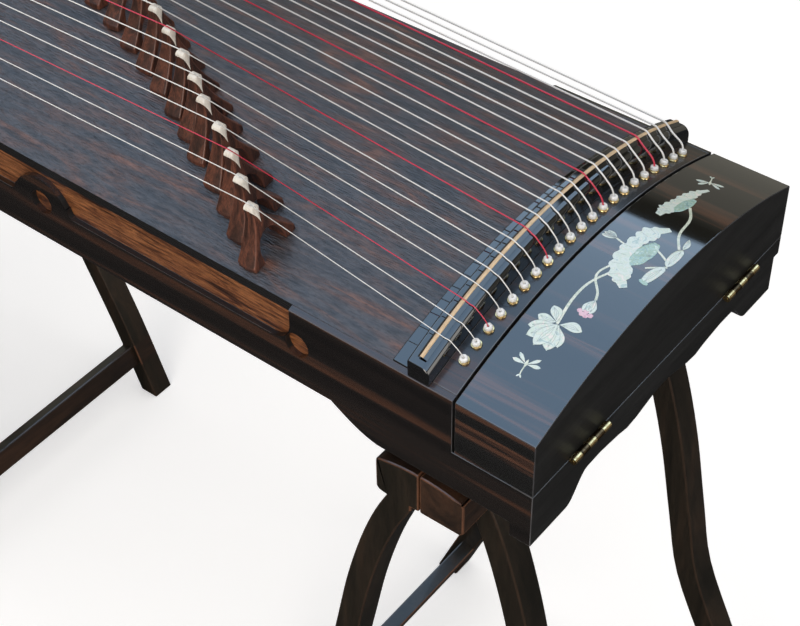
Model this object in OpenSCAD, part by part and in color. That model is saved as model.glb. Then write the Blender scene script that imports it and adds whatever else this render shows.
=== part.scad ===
// Twenty-one string guzheng on two folding stands.
// +X is the head end, +Y the far side from the player, +Z up.
// The origin is on the floor under the middle of the whole.

/* [Body] */
// Length of the instrument, head end to tail end
body_len = 1630; // [1400:10:1800]
// Width across the head end
head_w = 345; // [300:5:400]
// Width across the tail end
tail_w = 309; // [260:5:360]
// Radius of the arched top
board_r = 470; // [400:5:700]
// Thickness of the arched soundboard
board_t = 8; // [6:0.5:12]
// Height of the body at its sides, between the ends
body_h = 69; // [55:1:90]
// Height of the head box at its sides
box_h = 96; // [80:1:120]
// Thickness of the ebony side aprons
apron_t = 5; // [3:0.5:8]
// Thickness of the side panels behind them
panel_t = 8; // [5:0.5:12]
// Thickness of the back board
back_t = 8; // [5:0.5:12]

/* [Head] */
// Length of the lid along the body
lid_len = 68; // [60:1:140]
// Depth of the lid at its sides, down to the seam
lid_h = 51; // [40:1:60]
// Wall thickness of the lid
lid_t = 8; // [5:0.5:12]
// Gap between the lid and the string strip
lid_gap = 2; // [1:0.5:4]
// Gap at the lid seam
seam_gap = 0.4; // [0.2:0.1:1]
// Width of the string strip between nut and lid
strip_w = 21; // [16:1:30]
// Width of the head nut
nut_w = 19; // [14:1:28]
// Height of the nut above the top at mid width
nut_rise = 20; // [12:1:28]
// Height of the nut above the top at its ends
nut_end = 15; // [8:1:24]
// Width of the saddle strip in the nut
saddle_w = 3; // [2:0.5:5]
// Height the saddle stands above the nut
saddle_rise = 3; // [1:0.5:5]
// Width of the border band in front of the nut
border_w = 16; // [8:1:30]
// Thickness of the end board
end_t = 18; // [12:1:25]
// Depth of the end board's feet below the head box
foot_drop = 7; // [4:1:15]

/* [Hinges] */
// Length of each lid hinge
hinge_l = 46; // [30:1:60]
// Distance of each hinge from the middle
hinge_y = 105; // [60:1:130]
// Outer radius of the hinge barrel
barrel_r = 3; // [2.5:0.1:5]
// Diameter of the hinge pin
pin_d = 2.4; // [1.6:0.1:3]
// Radial clearance of the lid knuckles on the pin
pin_fit = 0.05; // [0.02:0.01:0.1]
// Thickness of the hinge leaves
leaf_t = 1; // [0.8:0.1:2]

/* [Strings and bridges] */
// String spacing at the head saddle
pitch_head = 14.8; // [13:0.1:16]
// String spacing at the grommets
pitch_hole = 14.3; // [13:0.1:16]
// String spacing at the head end of the bridge rows
pitch_bridge = 15.3; // [13:0.1:16]
// String spacing at the tail nut
pitch_tail = 13.2; // [11:0.1:15]
// Height of a bridge above the soundboard
bridge_h = 51; // [45:0.5:65]
// Spread of the bridge feet
bridge_w = 50; // [40:1:70]
// Length of a bridge foot along the string
bridge_l = 18; // [14:0.5:26]
// Length of a bridge at its top
bridge_top_l = 10; // [8:0.5:16]
// Diameter of the thinnest string
string_d_min = 1; // [0.6:0.1:1.5]
// Diameter of the thickest string
string_d_max = 2; // [1.5:0.1:2.5]
// Diameter of the shank of a tuning pin
peg_d = 5; // [4:0.1:7]
// Length of a tuning pin
peg_l = 44; // [36:1:50]
// Clearance of a tuning pin in its hole
peg_fit = 0.02; // [0.01:0.01:0.1]

/* [Tail] */
// Distance of the tail nut from the tail end
tail_nut_in = 225; // [160:5:300]
// Drop of the top at the tail end
tail_drop = 34; // [10:1:45]
// Thickness of the tail end board
end2_t = 14; // [8:1:20]

/* [Side decoration] */
// Spacing of the cloud-shaped lobes along the sides
lobe_step = 266; // [200:1:300]
// Distance of the first side hole from the head end
lobe_first = 212; // [190:1:260]
// Diameter of the holes in the aprons
side_hole_d = 22; // [14:1:30]
// Height of the apron rail below the panels
apron_low = 36; // [26:1:46]

/* [Stands] */
// Height of the head stand
stand_h = 575; // [480:5:650]
// Distance of the head stand from the head end
stand_head_in = 99; // [85:1:140]
// Distance of the tail stand from the head end
stand_tail_in = 953; // [850:1:1300]
// Length of the top rails
rail_len = 344; // [300:2:380]
// Width of one top rail
rail_w = 40; // [30:1:50]
// Height of a top rail at the middle of the stand
rail_h = 40; // [30:1:50]
// Drop of the rail tops towards their outer edges
rail_fall = 5; // [0:0.5:10]
// Gap between the two rails of a stand
rail_gap = 1; // [0.6:0.1:3]
// Width of a leg seen from the side of the instrument
leg_w = 22; // [16:1:30]
// Thickness of a leg along the rails
leg_t = 26; // [16:1:32]
// Gap between the nested legs of the two frames
nest_gap = 16; // [6:1:30]
// Spread of a foot from the middle of its stand
foot_out = 206; // [150:1:260]
// Height of the stretcher above the floor
stretcher_z = 52; // [40:1:200]
// Thickness of the stretcher
stretcher_t = 15; // [10:1:20]
// Depth of the stretcher
stretcher_h = 25; // [15:1:35]

/* [Hidden] */
n = 21;
z_low = stand_h;
// middle line of a leg: share of the way down, and distance outwards
leg_knots = [[0, 18], [0.06, 33], [0.14, 48], [0.25, 63.5], [0.39, 78.5],
             [0.52, 94], [0.67, 130], [0.84, 172], [1, 206], [1.06, 220]];
// what reaches past the head end: the feet of the head stand, or the hinges
past_head = max(foot_tip(z_low) - stand_head_in, 2 * barrel_r);
x_head = (body_len - past_head) / 2;
x_tail = x_head - body_len;
z_top = z_low + box_h;
z_mid = z_top - body_h;
z_seam = z_top - lid_h;
arch_z = z_top - sqrt(pow(board_r, 2) - pow(head_w / 2, 2));
crown_z = arch_z + board_r;
x_lid = x_head - lid_len;
x_strip = x_lid - lid_gap;
x_nut = x_strip - strip_w;
x_nut2 = x_nut - nut_w;
x_band = x_nut2 - border_w;
x_saddle = x_nut - nut_w / 2;
x_hole = x_strip - strip_w / 2 - 0.5;
x_tn = x_tail + tail_nut_in;
x_slope = x_tn - 34;
x_tail_hole = x_tn - 22;
slope_a = atan(tail_drop / (x_slope - x_tail));
nut_sag = crown_z + nut_rise - z_top - nut_end;
nut_r = (pow(head_w / 2, 2) + pow(nut_sag, 2)) / (2 * nut_sag);
nut_z = crown_z + nut_rise - nut_r;
x_end_in = x_head - end_t;
x_box = x_nut2 + 8;
x_step = x_head - 135;
shelf_t = 12;
peg_board_t = 25;
z_shelf = z_low + shelf_t;
z_pegs = z_shelf + peg_board_t;
saddle_y = head_w / 2 - 7;
pin_z = z_seam + seam_gap / 2;
pin_x = x_head + barrel_r;
eps = 0.02;

// distances of the bridges from the saddle, thin strings first
reach = [166, 189, 211, 236, 265, 287, 313, 341, 369, 399, 431,
         465, 502, 542, 585, 631, 680, 732, 787, 846, 909];
reds = [3, 8, 13, 18];

function half_w(x) = (tail_w + (head_w - tail_w) * (x - x_tail) / body_len) / 2;
function arch(y, rise = 0) = arch_z + sqrt(pow(board_r + rise, 2) - y * y);
function string_d(i) = string_d_min + (string_d_max - string_d_min) * (i - 1) / (n - 1);
function pitch_at(x) = pitch_tail
    + (pitch_bridge - pitch_tail) * (x - x_tn) / (x_saddle - x_tn);
function bridge_x(i) = x_saddle - reach[i - 1];
function bridge_y(i) = (i - 11) * pitch_at(bridge_x(i));
function bridge_a(i) = asin(bridge_y(i) / (board_r + bridge_h));

// ---------- shared shapes ----------

// plan outline of the body between two stations, drawn in from the sides
module plan(xa, xb, inset = 0) {
    polygon([[xa, -half_w(xa) + inset], [xb, -half_w(xb) + inset],
             [xb, half_w(xb) - inset], [xa, half_w(xa) - inset]]);
}

// everything under the arched top; behind the tail nut the top falls away
module under_top(xa, xb, rise = 0) {
    r = board_r + rise;
    if (xb > x_slope)
        translate([max(xa, x_slope), 0, arch_z])
            rotate([0, 90, 0])
                cylinder(r = r, h = xb - max(xa, x_slope), $fn = 360);
    if (xa < x_slope)
        intersection() {
            translate([x_slope + r * sin(slope_a), 0, crown_z + rise - r * cos(slope_a)])
                rotate([0, 90 - slope_a, 0])
                    translate([0, 0, -500])
                        cylinder(r = r, h = 600, $fn = 360);
            translate([xa, -300, 0])
                cube([min(xb, x_slope) - xa, 600, 1000]);
        }
}

// a tapered block with flat underside and arched top
module arched_block(xa, xb, z0, inset = 0, rise = 0) {
    intersection() {
        translate([0, 0, z0])
            linear_extrude(height = 300)
                plan(xa, xb, inset);
        under_top(xa - 1, xb + 1, rise);
    }
}

module tube_x(r, h) {
    rotate([90, 0, 0])
        cylinder(r = r, h = h, center = true, $fn = 48);
}

// a round cord swept along its points, its first side facing up
module sweep(p, d) {
    m = len(p);
    c = 8;
    ring = [for (k = [0 : m - 1]) let (
        v = p[min(m - 1, k + 1)] - p[max(0, k - 1)],
        f = v / norm(v),
        u0 = cross(f, [0, 1, 0]),
        u = u0 / norm(u0),
        w = cross(u, f)) for (j = [0 : c - 1]) let (a = 360 * (j + 0.5) / c)
            p[k] + d / 2 * (u * cos(a) + w * sin(a))];
    polyhedron(ring, concat(
        [[for (j = [c - 1 : -1 : 0]) j]],
        [[for (j = [0 : c - 1]) (m - 1) * c + j]],
        [for (k = [0 : m - 2]) for (j = [0 : c - 1])
            [k * c + j, k * c + (j + 1) % c, (k + 1) * c + (j + 1) % c, (k + 1) * c + j]]));
}

// ---------- body ----------

module soundboard() {
    color([0.22, 0.2, 0.22])
        difference() {
            arched_block(x_slope, x_band, z_mid + back_t, apron_t);
            under_top(x_slope - 5, x_band + 5, -board_t);
            for (i = [1 : n])
                on_top(x_tail_hole, (i - 11) * pitch_tail)
                    translate([0, 0, -20])
                        cylinder(r = 1.9, h = 30, $fn = 32);
        }
}

// stands a child square to the arched top
module on_top(x, y) {
    a = asin(y / board_r);
    translate([x, y, arch(y)])
        rotate([-a, 0, 0])
            children();
}

module back_board() {
    color([0.3, 0.2, 0.14])
        difference() {
            translate([0, 0, z_mid])
                linear_extrude(height = back_t)
                    plan(x_tail + end2_t, x_box, apron_t + panel_t);
            for (x = [x_box - 250, x_tail + 330])
                translate([x, 0, z_mid - 1])
                    sound_slot(back_t + 2);
        }
}

module sound_slot(h) {
    for (s = [-1, 1])
        translate([s * 32, 0, 0])
            cylinder(r = 24, h = h, $fn = 64);
    translate([-32, -24, 0])
        cube([64, 48, h]);
}

// one side of the apron, seen from the player
module apron_outline() {
    z_rail = z_mid + apron_low;
    lobe_n = floor((body_len - 2 * lobe_first + 1) / lobe_step);
    x_first = x_head - lobe_first;
    x_last = x_first - lobe_step * lobe_n;
    difference() {
        union() {
            translate([x_tail, z_mid])
                square([body_len, apron_low]);
            translate([x_first - 6, z_rail - 1])
                square([lobe_first + 6, 80]);
            translate([x_tail, z_rail - 1])
                square([x_last + 6 - x_tail, 80]);
            shoulder(x_first - 6, z_rail, -1);
            shoulder(x_last + 6, z_rail, 1);
            for (k = [1 : lobe_n - 1])
                translate([x_first - k * lobe_step, z_rail])
                    lobe();
        }
        for (k = [0 : lobe_n])
            translate([x_first - k * lobe_step, z_rail + 2])
                circle(d = side_hole_d, $fn = 48);
        translate([x_strip, z_seam])
            square([200, 200]);
    }
}

// hollow shoulder where the panel ends
module shoulder(x, z, s) {
    difference() {
        translate([s > 0 ? x - 1 : x - 19, z - 1])
            square([20, 20]);
        translate([x + s * 19, z + 19])
            circle(r = 19, $fn = 64);
    }
}

// rounded cloud lobe around a side hole
module lobe() {
    difference() {
        union() {
            translate([0, -4])
                circle(r = 30, $fn = 96);
            translate([-38, -1])
                square([76, 9]);
        }
        translate([-60, -60])
            square([120, 59]);
        for (s = [-1, 1])
            translate([s * 38, 8])
                circle(r = 8.9, $fn = 48);
    }
}

// S-shaped foot under an apron: x is its tip, s the way it runs
module apron_foot(x, l, s) {
    drop = z_mid - z_low - foot_drop;
    polygon(concat(
        [[x, z_mid + 1], [x, z_mid - drop], [x + s * l, z_mid - drop]],
        [for (k = [1 : 9]) [x + s * (l + 5.5 * k), z_mid - drop * cos(10 * k)]],
        [[x + s * (l + 50), z_mid + 1]]));
}

module apron_ring() {
    difference() {
        arched_block(x_tail, x_head - end_t, z_low);
        translate([0, 0, z_low - 30])
            linear_extrude(height = 300)
                plan(x_tail - 30, x_head + 30, apron_t);
    }
}

module side_aprons() {
    color([0.1, 0.08, 0.07])
        for (s = [-1, 1])
            intersection() {
                apron_ring();
                translate([0, s > 0 ? 300 : 0, 0])
                    rotate([90, 0, 0])
                        linear_extrude(height = 300)
                            union() {
                                apron_outline();
                                apron_foot(x_tail, 96, 1);
                                if (s < 0)
                                    apron_foot(x_head, 132, -1);
                            }
            }
}

module side_panels() {
    color([0.45, 0.25, 0.14])
        for (s = [-1, 1])
            intersection() {
                difference() {
                    arched_block(x_tail + end2_t, x_box, z_mid, apron_t + eps, -board_t);
                    translate([0, 0, z_low - 30])
                        linear_extrude(height = 300)
                            plan(x_tail - 30, x_head + 30, apron_t + panel_t);
                }
                translate([x_tail, s > 0 ? 0 : -300, 0])
                    cube([body_len, 300, 900]);
            }
}

// ---------- head box ----------

// lower edge of the end board, from the middle outwards
function end_edge(s) = [
    for (k = [0 : 8]) let (y = 12 * k)
        [s * y, z_seam - 31 + 4 * cos(360 * k / 8) * (k < 5 ? 1 : 0.5)]];

function foot_curve(s) = [
    for (k = [0 : 8]) let (t = k / 8)
        [s * (101 + 26 * t), z_seam - 30 - (foot_drop + z_seam - z_low - 30)
            * (1 - cos(180 * t)) / 2]];

module end_board_outline() {
    w = half_w(x_head);
    difference() {
        translate([-w, z_low - foot_drop])
            square([2 * w, z_seam - z_low + foot_drop]);
        polygon(concat(
            [[0, z_low - 40]],
            [[-127, z_low - 40]],
            [for (k = [8 : -1 : 0]) foot_curve(-1)[k]],
            [for (k = [7 : -1 : 1]) end_edge(-1)[k]],
            [for (k = [0 : 7]) end_edge(1)[k]],
            [for (k = [0 : 8]) foot_curve(1)[k]],
            [[127, z_low - 40]]));
        // the far corner of the foot stands back from the side
        translate([w - 7, z_low - 20])
            square([20, 20 + z_mid - z_low]);
    }
}

module end_board() {
    intersection() {
        translate([x_end_in, 0, 0])
            rotate([90, 0, 90])
                linear_extrude(height = end_t)
                    end_board_outline();
        translate([0, 0, 400])
            linear_extrude(height = 400)
                plan(x_end_in - 1, x_head);
    }
}

module head_block() {
    color([0.12, 0.1, 0.09]) {
        difference() {
            end_board();
            hinge_pockets(-1);
        }
        // bottom of the head box, with the solid foot behind it
        translate([0, 0, z_low])
            linear_extrude(height = shelf_t)
                plan(x_box, x_end_in, apron_t + 2);
        translate([0, 0, z_low])
            linear_extrude(height = z_mid - z_low)
                plan(x_step, x_box, apron_t + 2);
        // wall under the nut
        intersection() {
            translate([0, 0, z_low + shelf_t])
                linear_extrude(height = 200)
                    plan(x_box, x_nut + 1, apron_t);
            under_top(x_box - 1, x_nut + 9, -board_t);
        }
        // block that holds the pins
        difference() {
            translate([0, 0, z_shelf])
                linear_extrude(height = peg_board_t)
                    plan(x_strip - 2, x_end_in, apron_t);
            for (i = [1 : n])
                translate([peg_x(i), peg_y(i), z_pegs - 24])
                    cylinder(d = peg_d + 2 * peg_fit, h = 60, $fn = 48);
        }
        // strip with the string holes
        difference() {
            arched_block(x_nut, x_strip, z_seam + 10, apron_t);
            under_top(x_nut - 5, x_strip + 5, -10);
            for (i = [1 : n])
                on_top(x_hole, (i - 11) * pitch_hole)
                    translate([0, 0, -30])
                        cylinder(r = 2.4, h = 60, $fn = 32);
        }
        // side walls of the lower box
        for (s = [-1, 1])
            intersection() {
                difference() {
                    translate([0, 0, z_shelf])
                        linear_extrude(height = z_seam - z_shelf)
                            plan(x_nut + 1, x_strip - 2, apron_t);
                    translate([0, 0, z_shelf - 5])
                        linear_extrude(height = 100)
                            plan(x_box, x_end_in, apron_t + 10);
                }
                translate([x_box, s > 0 ? 0 : -300, 0])
                    cube([200, 300, 900]);
            }
    }
}

// profile of the nut turned about the axis of its arch
module nut_turn(profile) {
    translate([x_nut2, 0, nut_z])
        rotate([0, 90, 0])
            rotate_extrude($fn = 360)
                polygon(profile);
}

module head_nut() {
    color([0.06, 0.06, 0.07]) {
        difference() {
            intersection() {
                translate([0, 0, z_mid + 40])
                    linear_extrude(height = 200)
                        plan(x_nut2, x_nut, 0.5);
                nut_turn(concat(
                    [[0, -1], [nut_r - 1, -1], [nut_r - 1, 0], [nut_r, 1]],
                    [for (k = [0 : 9]) [nut_r - 7 + 7 * cos(10 * k), nut_w - 7 + 7 * sin(10 * k)]],
                    [[0, nut_w]]));
            }
            under_top(x_nut2 - 5, x_nut + 5, -board_t);
            apron_ring();
            // slot for the saddle
            intersection() {
                nut_turn([[nut_r - 5, nut_w / 2 - saddle_w / 2],
                          [nut_r + 9, nut_w / 2 - saddle_w / 2],
                          [nut_r + 9, nut_w / 2 + saddle_w / 2 + 1.5],
                          [nut_r - 5, nut_w / 2 + saddle_w / 2 + 1.5]]);
                translate([x_nut2, -saddle_y, 0])
                    cube([nut_w, 2 * saddle_y, 900]);
            }
        }
        // ebony band between nut and soundboard
        difference() {
            arched_block(x_band, x_nut2, z_mid + back_t, apron_t, 0.8);
            under_top(x_band - 5, x_nut2 + 5, -board_t);
        }
    }
}

module saddle() {
    c = nut_w / 2;
    w = saddle_w / 2;
    t = nut_r + saddle_rise;
    color([0.8, 0.66, 0.45])
        intersection() {
            nut_turn([[nut_r - 5, c - w], [t - 0.9, c - w], [t - 0.2, c - w * 0.6],
                      [t, c], [t - 0.2, c + w * 0.6], [t - 0.9, c + w], [nut_r - 5, c + w]]);
            translate([x_nut2, -saddle_y + 0.2, 0])
                cube([nut_w, 2 * saddle_y - 0.4, 900]);
        }
}

module grommets() {
    for (i = [1 : n]) {
        on_top(x_hole, (i - 11) * pitch_hole) {
            color([0.8, 0.6, 0.25])
                difference() {
                    union() {
                        cylinder(r = 3.6, h = 2, $fn = 32);
                        translate([0, 0, -8])
                            cylinder(r = 2.4, h = 9, $fn = 32);
                    }
                    translate([0, 0, -10])
                        cylinder(r = 1.5, h = 20, $fn = 32);
                }
            color([0.95, 0.95, 0.93])
                difference() {
                    intersection() {
                        translate([0, 0, 4.4])
                            sphere(r = 4, $fn = 32);
                        translate([0, 0, 2])
                            cylinder(r = 3.7, h = 5, $fn = 32);
                    }
                    cylinder(r = 1.5, h = 20, $fn = 32);
                }
        }
        on_top(x_tail_hole, (i - 11) * pitch_tail)
            color([0.8, 0.6, 0.25])
                difference() {
                    union() {
                        cylinder(r = 3.2, h = 1.5, $fn = 32);
                        translate([0, 0, -5])
                            cylinder(r = 1.9, h = 6, $fn = 32);
                    }
                    translate([0, 0, -10])
                        cylinder(r = 1.3, h = 20, $fn = 32);
                }
    }
}

module lid() {
    z0 = z_seam + seam_gap;
    color([0.08, 0.08, 0.09])
        difference() {
            arched_block(x_lid, x_head, z0);
            intersection() {
                translate([0, 0, z0 - 5])
                    linear_extrude(height = 300)
                        plan(x_lid - 5, x_head - lid_t, lid_t);
                under_top(x_lid - 10, x_head, -lid_t);
            }
            hinge_pockets(1);
        }
}

// ---------- lid hinges ----------

module hinge_pockets(s) {
    for (y = [-hinge_y, hinge_y]) {
        translate([x_head - 7.5, y - hinge_l / 2 - 0.2, s < 0 ? z_seam - leaf_t + 0.1 : z_seam])
            cube([9, hinge_l + 0.4, leaf_t + 0.4]);
        translate([pin_x, y, pin_z])
            tube_x(barrel_r + 0.5, hinge_l + 0.4);
    }
}

module hinge_leaf(s) {
    // s < 0 is the leaf on the end board, s > 0 the one on the lid
    k = hinge_l / 5;
    for (y = [-hinge_y, hinge_y]) {
        difference() {
            union() {
                translate([x_head - 7.3, y - hinge_l / 2, s < 0 ? z_seam - leaf_t + 0.1 : pin_z + 0.1])
                    cube([7.3 + barrel_r, hinge_l, leaf_t - 0.2]);
                for (m = (s < 0 ? [-2, 0, 2] : [-1, 1]))
                    translate([pin_x, y + m * k, pin_z])
                        tube_x(barrel_r, k - 0.3);
            }
            for (m = (s < 0 ? [-1, 1] : [-2, 0, 2]))
                translate([pin_x, y + m * k, pin_z])
                    tube_x(barrel_r + 0.3, k + 0.2);
            translate([pin_x, y, pin_z])
                tube_x(s < 0 ? pin_d / 2 : pin_d / 2 + pin_fit, hinge_l + 2);
        }
        if (s < 0)
            translate([pin_x, y, pin_z])
                tube_x(pin_d / 2, hinge_l);
    }
}

module hinge_body_leaves() {
    color([0.72, 0.55, 0.28])
        hinge_leaf(-1);
}

module hinge_lid_leaves() {
    color([0.72, 0.55, 0.28])
        hinge_leaf(1);
}

// ---------- tail ----------

module tail_block() {
    color([0.1, 0.09, 0.08]) {
        // sloping deck
        difference() {
            arched_block(x_tail, x_slope, z_mid + back_t, apron_t);
            under_top(x_tail - 5, x_slope + 5, -board_t);
        }
        // end board
        intersection() {
            translate([0, 0, z_mid])
                linear_extrude(height = 300)
                    plan(x_tail, x_tail + end2_t, apron_t);
            under_top(x_tail - 1, x_tail + 30, -board_t);
        }
        // tail nut
        intersection() {
            translate([0, 0, z_mid + 20])
                linear_extrude(height = 200)
                    plan(x_tn - 10, x_tn + 6, 6);
            difference() {
                translate([x_tn, 0, arch_z])
                    rotate([0, 90, 0])
                        rotate_extrude($fn = 360)
                            polygon([[board_r - 40, -10], [board_r + 5, -10], [board_r + 13, -3],
                                     [board_r + 14, -1], [board_r + 14, 1], [board_r + 13, 3],
                                     [board_r + 10, 6], [board_r - 40, 6]]);
                under_top(x_tn - 20, x_tn + 20);
            }
        }
    }
}

// ---------- strings, pins ----------

function peg_x(i) = x_lid + 9 + 14 * ((i - 1) % 3);
function coil_r(i) = peg_d / 2 + 0.25 + string_d(i) / 2;
function peg_y(i) = (i - 11) * pitch_hole + coil_r(i);
function coil_z(i) = z_pegs + 2.5;
function nut_arch(y, rise = 0) = nut_z + sqrt(pow(nut_r + rise, 2) - y * y);

function over_nut(i, q) = let (
    y = (i - 11) * (pitch_head + (pitch_hole - pitch_head) * q[0]),
    d = string_d(i)) [x_nut - 7 + q[1] * (7.3 + d / 2), y, nut_arch(y, -7 + q[2] * (7.3 + d / 2))];

function route(i) = let (
    d = string_d(i),
    ys = (i - 11) * pitch_head,
    yh = (i - 11) * pitch_hole,
    yt = (i - 11) * pitch_tail,
    a = asin(yh / board_r),
    b = bridge_a(i),
    e = board_r + bridge_h + 0.4 + d / 2) [
    [x_tail_hole, yt - 6 * yt / board_r, arch(yt) - 6],
    [x_tail_hole, yt + 4 * yt / board_r, arch(yt, 4)],
    [x_tn - 3.4, yt, arch(yt, 14.2 + d / 2)],
    [x_tn + 1, yt, arch(yt, 14.4 + d / 2)],
    [bridge_x(i), e * sin(b), arch_z + e * cos(b)],
    [x_saddle, ys, nut_arch(ys, saddle_rise + 0.3 + d / 2)],
    over_nut(i, [0.3, 0.27, 1.0]),
    over_nut(i, [0.6, 0.74, 0.74]),
    [x_hole, yh + 8 * sin(a), arch(yh) + 8 * cos(a)],
    [x_hole, yh - 12 * sin(a), arch(yh) - 12 * cos(a)],
    [peg_x(i) - 1.5, yh, coil_z(i) + 4.5 * d + 0.05]];

module one_string(i) {
    d = string_d(i);
    sweep(route(i), d);
    // the turns wound on the pin
    translate([peg_x(i), peg_y(i), coil_z(i)])
        rotate_extrude($fn = 48)
            translate([peg_d / 2 + 0.25, 0])
                square([d, 4 * d]);
}

module strings_white() {
    color([0.93, 0.93, 0.92])
        for (i = [1 : n])
            if (len(search(i, reds)) == 0)
                one_string(i);
}

module strings_red() {
    color([0.8, 0.1, 0.2])
        for (i = reds)
            one_string(i);
}

module tuning_pin(i) {
    color([0.75, 0.75, 0.77])
        translate([peg_x(i), peg_y(i), z_pegs - 24]) {
            cylinder(d = peg_d, h = peg_l - 9, $fn = 48);
            translate([0, 0, peg_l - 4.5])
                cube([0.75 * peg_d, 0.75 * peg_d, 9], center = true);
        }
}

// ---------- bridges ----------

function bridge_side(s) = [
    for (k = [0 : 8]) let (t = k / 8)
        [s * (4.4 + (bridge_w / 2 - 4.4) * pow(t, 1.5)), (bridge_h - 6) * (1 - t) + 4 * t]];

module bridge_wood() {
    h = bridge_h;
    difference() {
        intersection() {
            rotate([90, 0, 90])
                linear_extrude(height = bridge_l, center = true)
                    polygon(concat(
                        [for (k = [0 : 8]) bridge_side(-1)[k]],
                        [[-bridge_w / 2, -8], [bridge_w / 2, -8]],
                        [for (k = [8 : -1 : 0]) bridge_side(1)[k]]));
            rotate([90, 0, 0])
                linear_extrude(height = bridge_w + 2, center = true)
                    polygon([[-bridge_l / 2, -8], [bridge_l / 2, -8],
                             [bridge_top_l / 2, h], [-bridge_top_l / 2, h]]);
        }
        // arch between the feet
        rotate([90, 0, 90]) {
            linear_extrude(height = 40, center = true)
                polygon(concat(
                    [[-bridge_w / 4, -10]],
                    [for (k = [0 : 10]) [-bridge_w / 4 * cos(18 * k), 6 + 0.37 * h * sin(18 * k)]],
                    [[bridge_w / 4, -10]]));
        }
        bridge_cap();
    }
}

module bridge_cap() {
    h = bridge_h;
    intersection() {
        rotate([90, 0, 90])
            linear_extrude(height = bridge_top_l + 2, center = true)
                polygon([[0, h - 20], [4.6, h - 5], [4.2, h - 2], [2.6, h - 0.5], [0, h],
                         [-2.6, h - 0.5], [-4.2, h - 2], [-4.6, h - 5]]);
        union() {
            translate([0, 0, h - 8])
                tube_x(8, 20);
            translate([-10, -10, h - 30])
                cube([20, 20, 22]);
        }
    }
}

module bridge(i) {
    a = bridge_a(i);
    difference() {
        translate([bridge_x(i), board_r * sin(a), arch_z + board_r * cos(a)])
            rotate([-a, 0, 0]) {
                color([0.35, 0.16, 0.1])
                    bridge_wood();
                color([0.93, 0.9, 0.84])
                    bridge_cap();
            }
        under_top(x_slope, x_band, 0.3);
    }
}

// ---------- stands ----------

function blend(a, b, c, d, t) = 0.5 * (2 * b + (c - a) * t
    + (2 * a - 5 * b + 4 * c - d) * t * t + (3 * b - a - 3 * c + d) * t * t * t);

function knot(k) = leg_knots[max(0, min(len(leg_knots) - 1, k))];

// middle line of a leg: outward distance and height, for a stand of height h
function leg_line(h) = let (l = h - rail_h) [
    for (k = [0 : len(leg_knots) - 2]) for (j = [0 : 3]) let (
        q = blend(knot(k - 1), knot(k), knot(k + 1), knot(k + 2), j / 4))
        [q[1] * foot_out / 206, l * (1 - q[0])]];

function side_way(p, k) = let (
    a = p[max(0, k - 1)], b = p[min(len(p) - 1, k + 1)], v = b - a)
    [-v[1], v[0]] / norm(v);

// how far the outer edge of a leg reaches at the floor
function foot_tip(h) = let (
    p = leg_line(h),
    q = [for (k = [0 : len(p) - 1]) p[k] + side_way(p, k) * leg_w / 2])
    max([for (k = [0 : len(q) - 2])
        if (q[k][1] >= 0 && q[k + 1][1] < 0)
            q[k][0] + (q[k + 1][0] - q[k][0]) * q[k][1] / (q[k][1] - q[k + 1][1])]);

module leg_outline(h) {
    p = leg_line(h);
    m = len(p) - 1;
    intersection() {
        polygon(concat(
            [p[0] + [-leg_w / 2, 30]],
            [for (k = [0 : m]) p[k] - side_way(p, k) * leg_w / 2],
            [for (k = [m : -1 : 0]) p[k] + side_way(p, k) * leg_w / 2],
            [p[0] + [leg_w / 2, 30]]));
        square([600, h - rail_h]);
    }
}

// inner edge of a leg at a height, and the lean of the leg there
function line_at(h, z) = let (p = leg_line(h),
    k = max([for (j = [0 : len(p) - 2]) p[j][1] >= z ? j : 0]),
    t = (p[k][1] - z) / (p[k][1] - p[k + 1][1]))
    [p[k][0] + t * (p[k + 1][0] - p[k][0]),
     atan((p[k + 1][0] - p[k][0]) / (p[k][1] - p[k + 1][1]))];

// one frame; s is the side it stands on, half the outer width of its legs
module stand_frame(x0, h, s, half, lead) {
    q = line_at(h, stretcher_z);
    shift = (leg_w - stretcher_t) / 2;
    translate([x0, 0, 0])
        mirror([s < 0 ? 1 : 0, 0, 0]) {
            color([0.2, 0.13, 0.09]) {
                rotate([90, 0, 0])
                    linear_extrude(height = rail_len, center = true)
                        rail_outline(h);
                for (y = [-half, half - leg_t])
                    translate([0, y + leg_t, 0])
                        rotate([90, 0, 0])
                            linear_extrude(height = leg_t)
                                leg_outline(h);
                translate([q[0], 0, stretcher_z])
                    rotate([0, -q[1], 0])
                        translate([-shift, 0, 0])
                            cube([stretcher_t, 2 * (half - leg_t) + 8, stretcher_h], center = true);
            }
            color([0.3, 0.28, 0.26])
                for (y = [-80, 80])
                    translate([0, y, h - rail_h])
                        stand_hinge(lead);
        }
}

module rail_outline(h) {
    g = rail_gap / 2;
    polygon(concat(
        [[g, h - rail_h]],
        [for (k = [0 : 6]) [g + (rail_w - 3) * k / 6, h - 0.3 - rail_fall * pow(k / 6, 2)]],
        [[g + rail_w - 1, h - rail_fall - 1.2], [g + rail_w, h - rail_fall - 4],
         [g + rail_w, h - rail_h + 3], [g + rail_w - 3, h - rail_h]]));
}

// small hinge under the rails; the leading frame carries the pin
module stand_hinge(lead) {
    difference() {
        union() {
            translate([0, -25, -2])
                cube([24, 50, 2]);
            for (y = (lead ? [-20, 20] : [0]))
                translate([0, y, -4])
                    tube_x(4, lead ? 10 : 29.4);
        }
        for (y = (lead ? [0] : [-20, 20]))
            translate([0, y, -4])
                tube_x(4.4, lead ? 30 : 10.6);
        translate([0, 0, -4])
            tube_x(lead ? 2 : 2.05, 60);
    }
    if (lead)
        translate([0, 0, -4])
            tube_x(2, 50);
}

half_wide = rail_len / 2;
half_slim = rail_len / 2 - leg_t - nest_gap;

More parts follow.
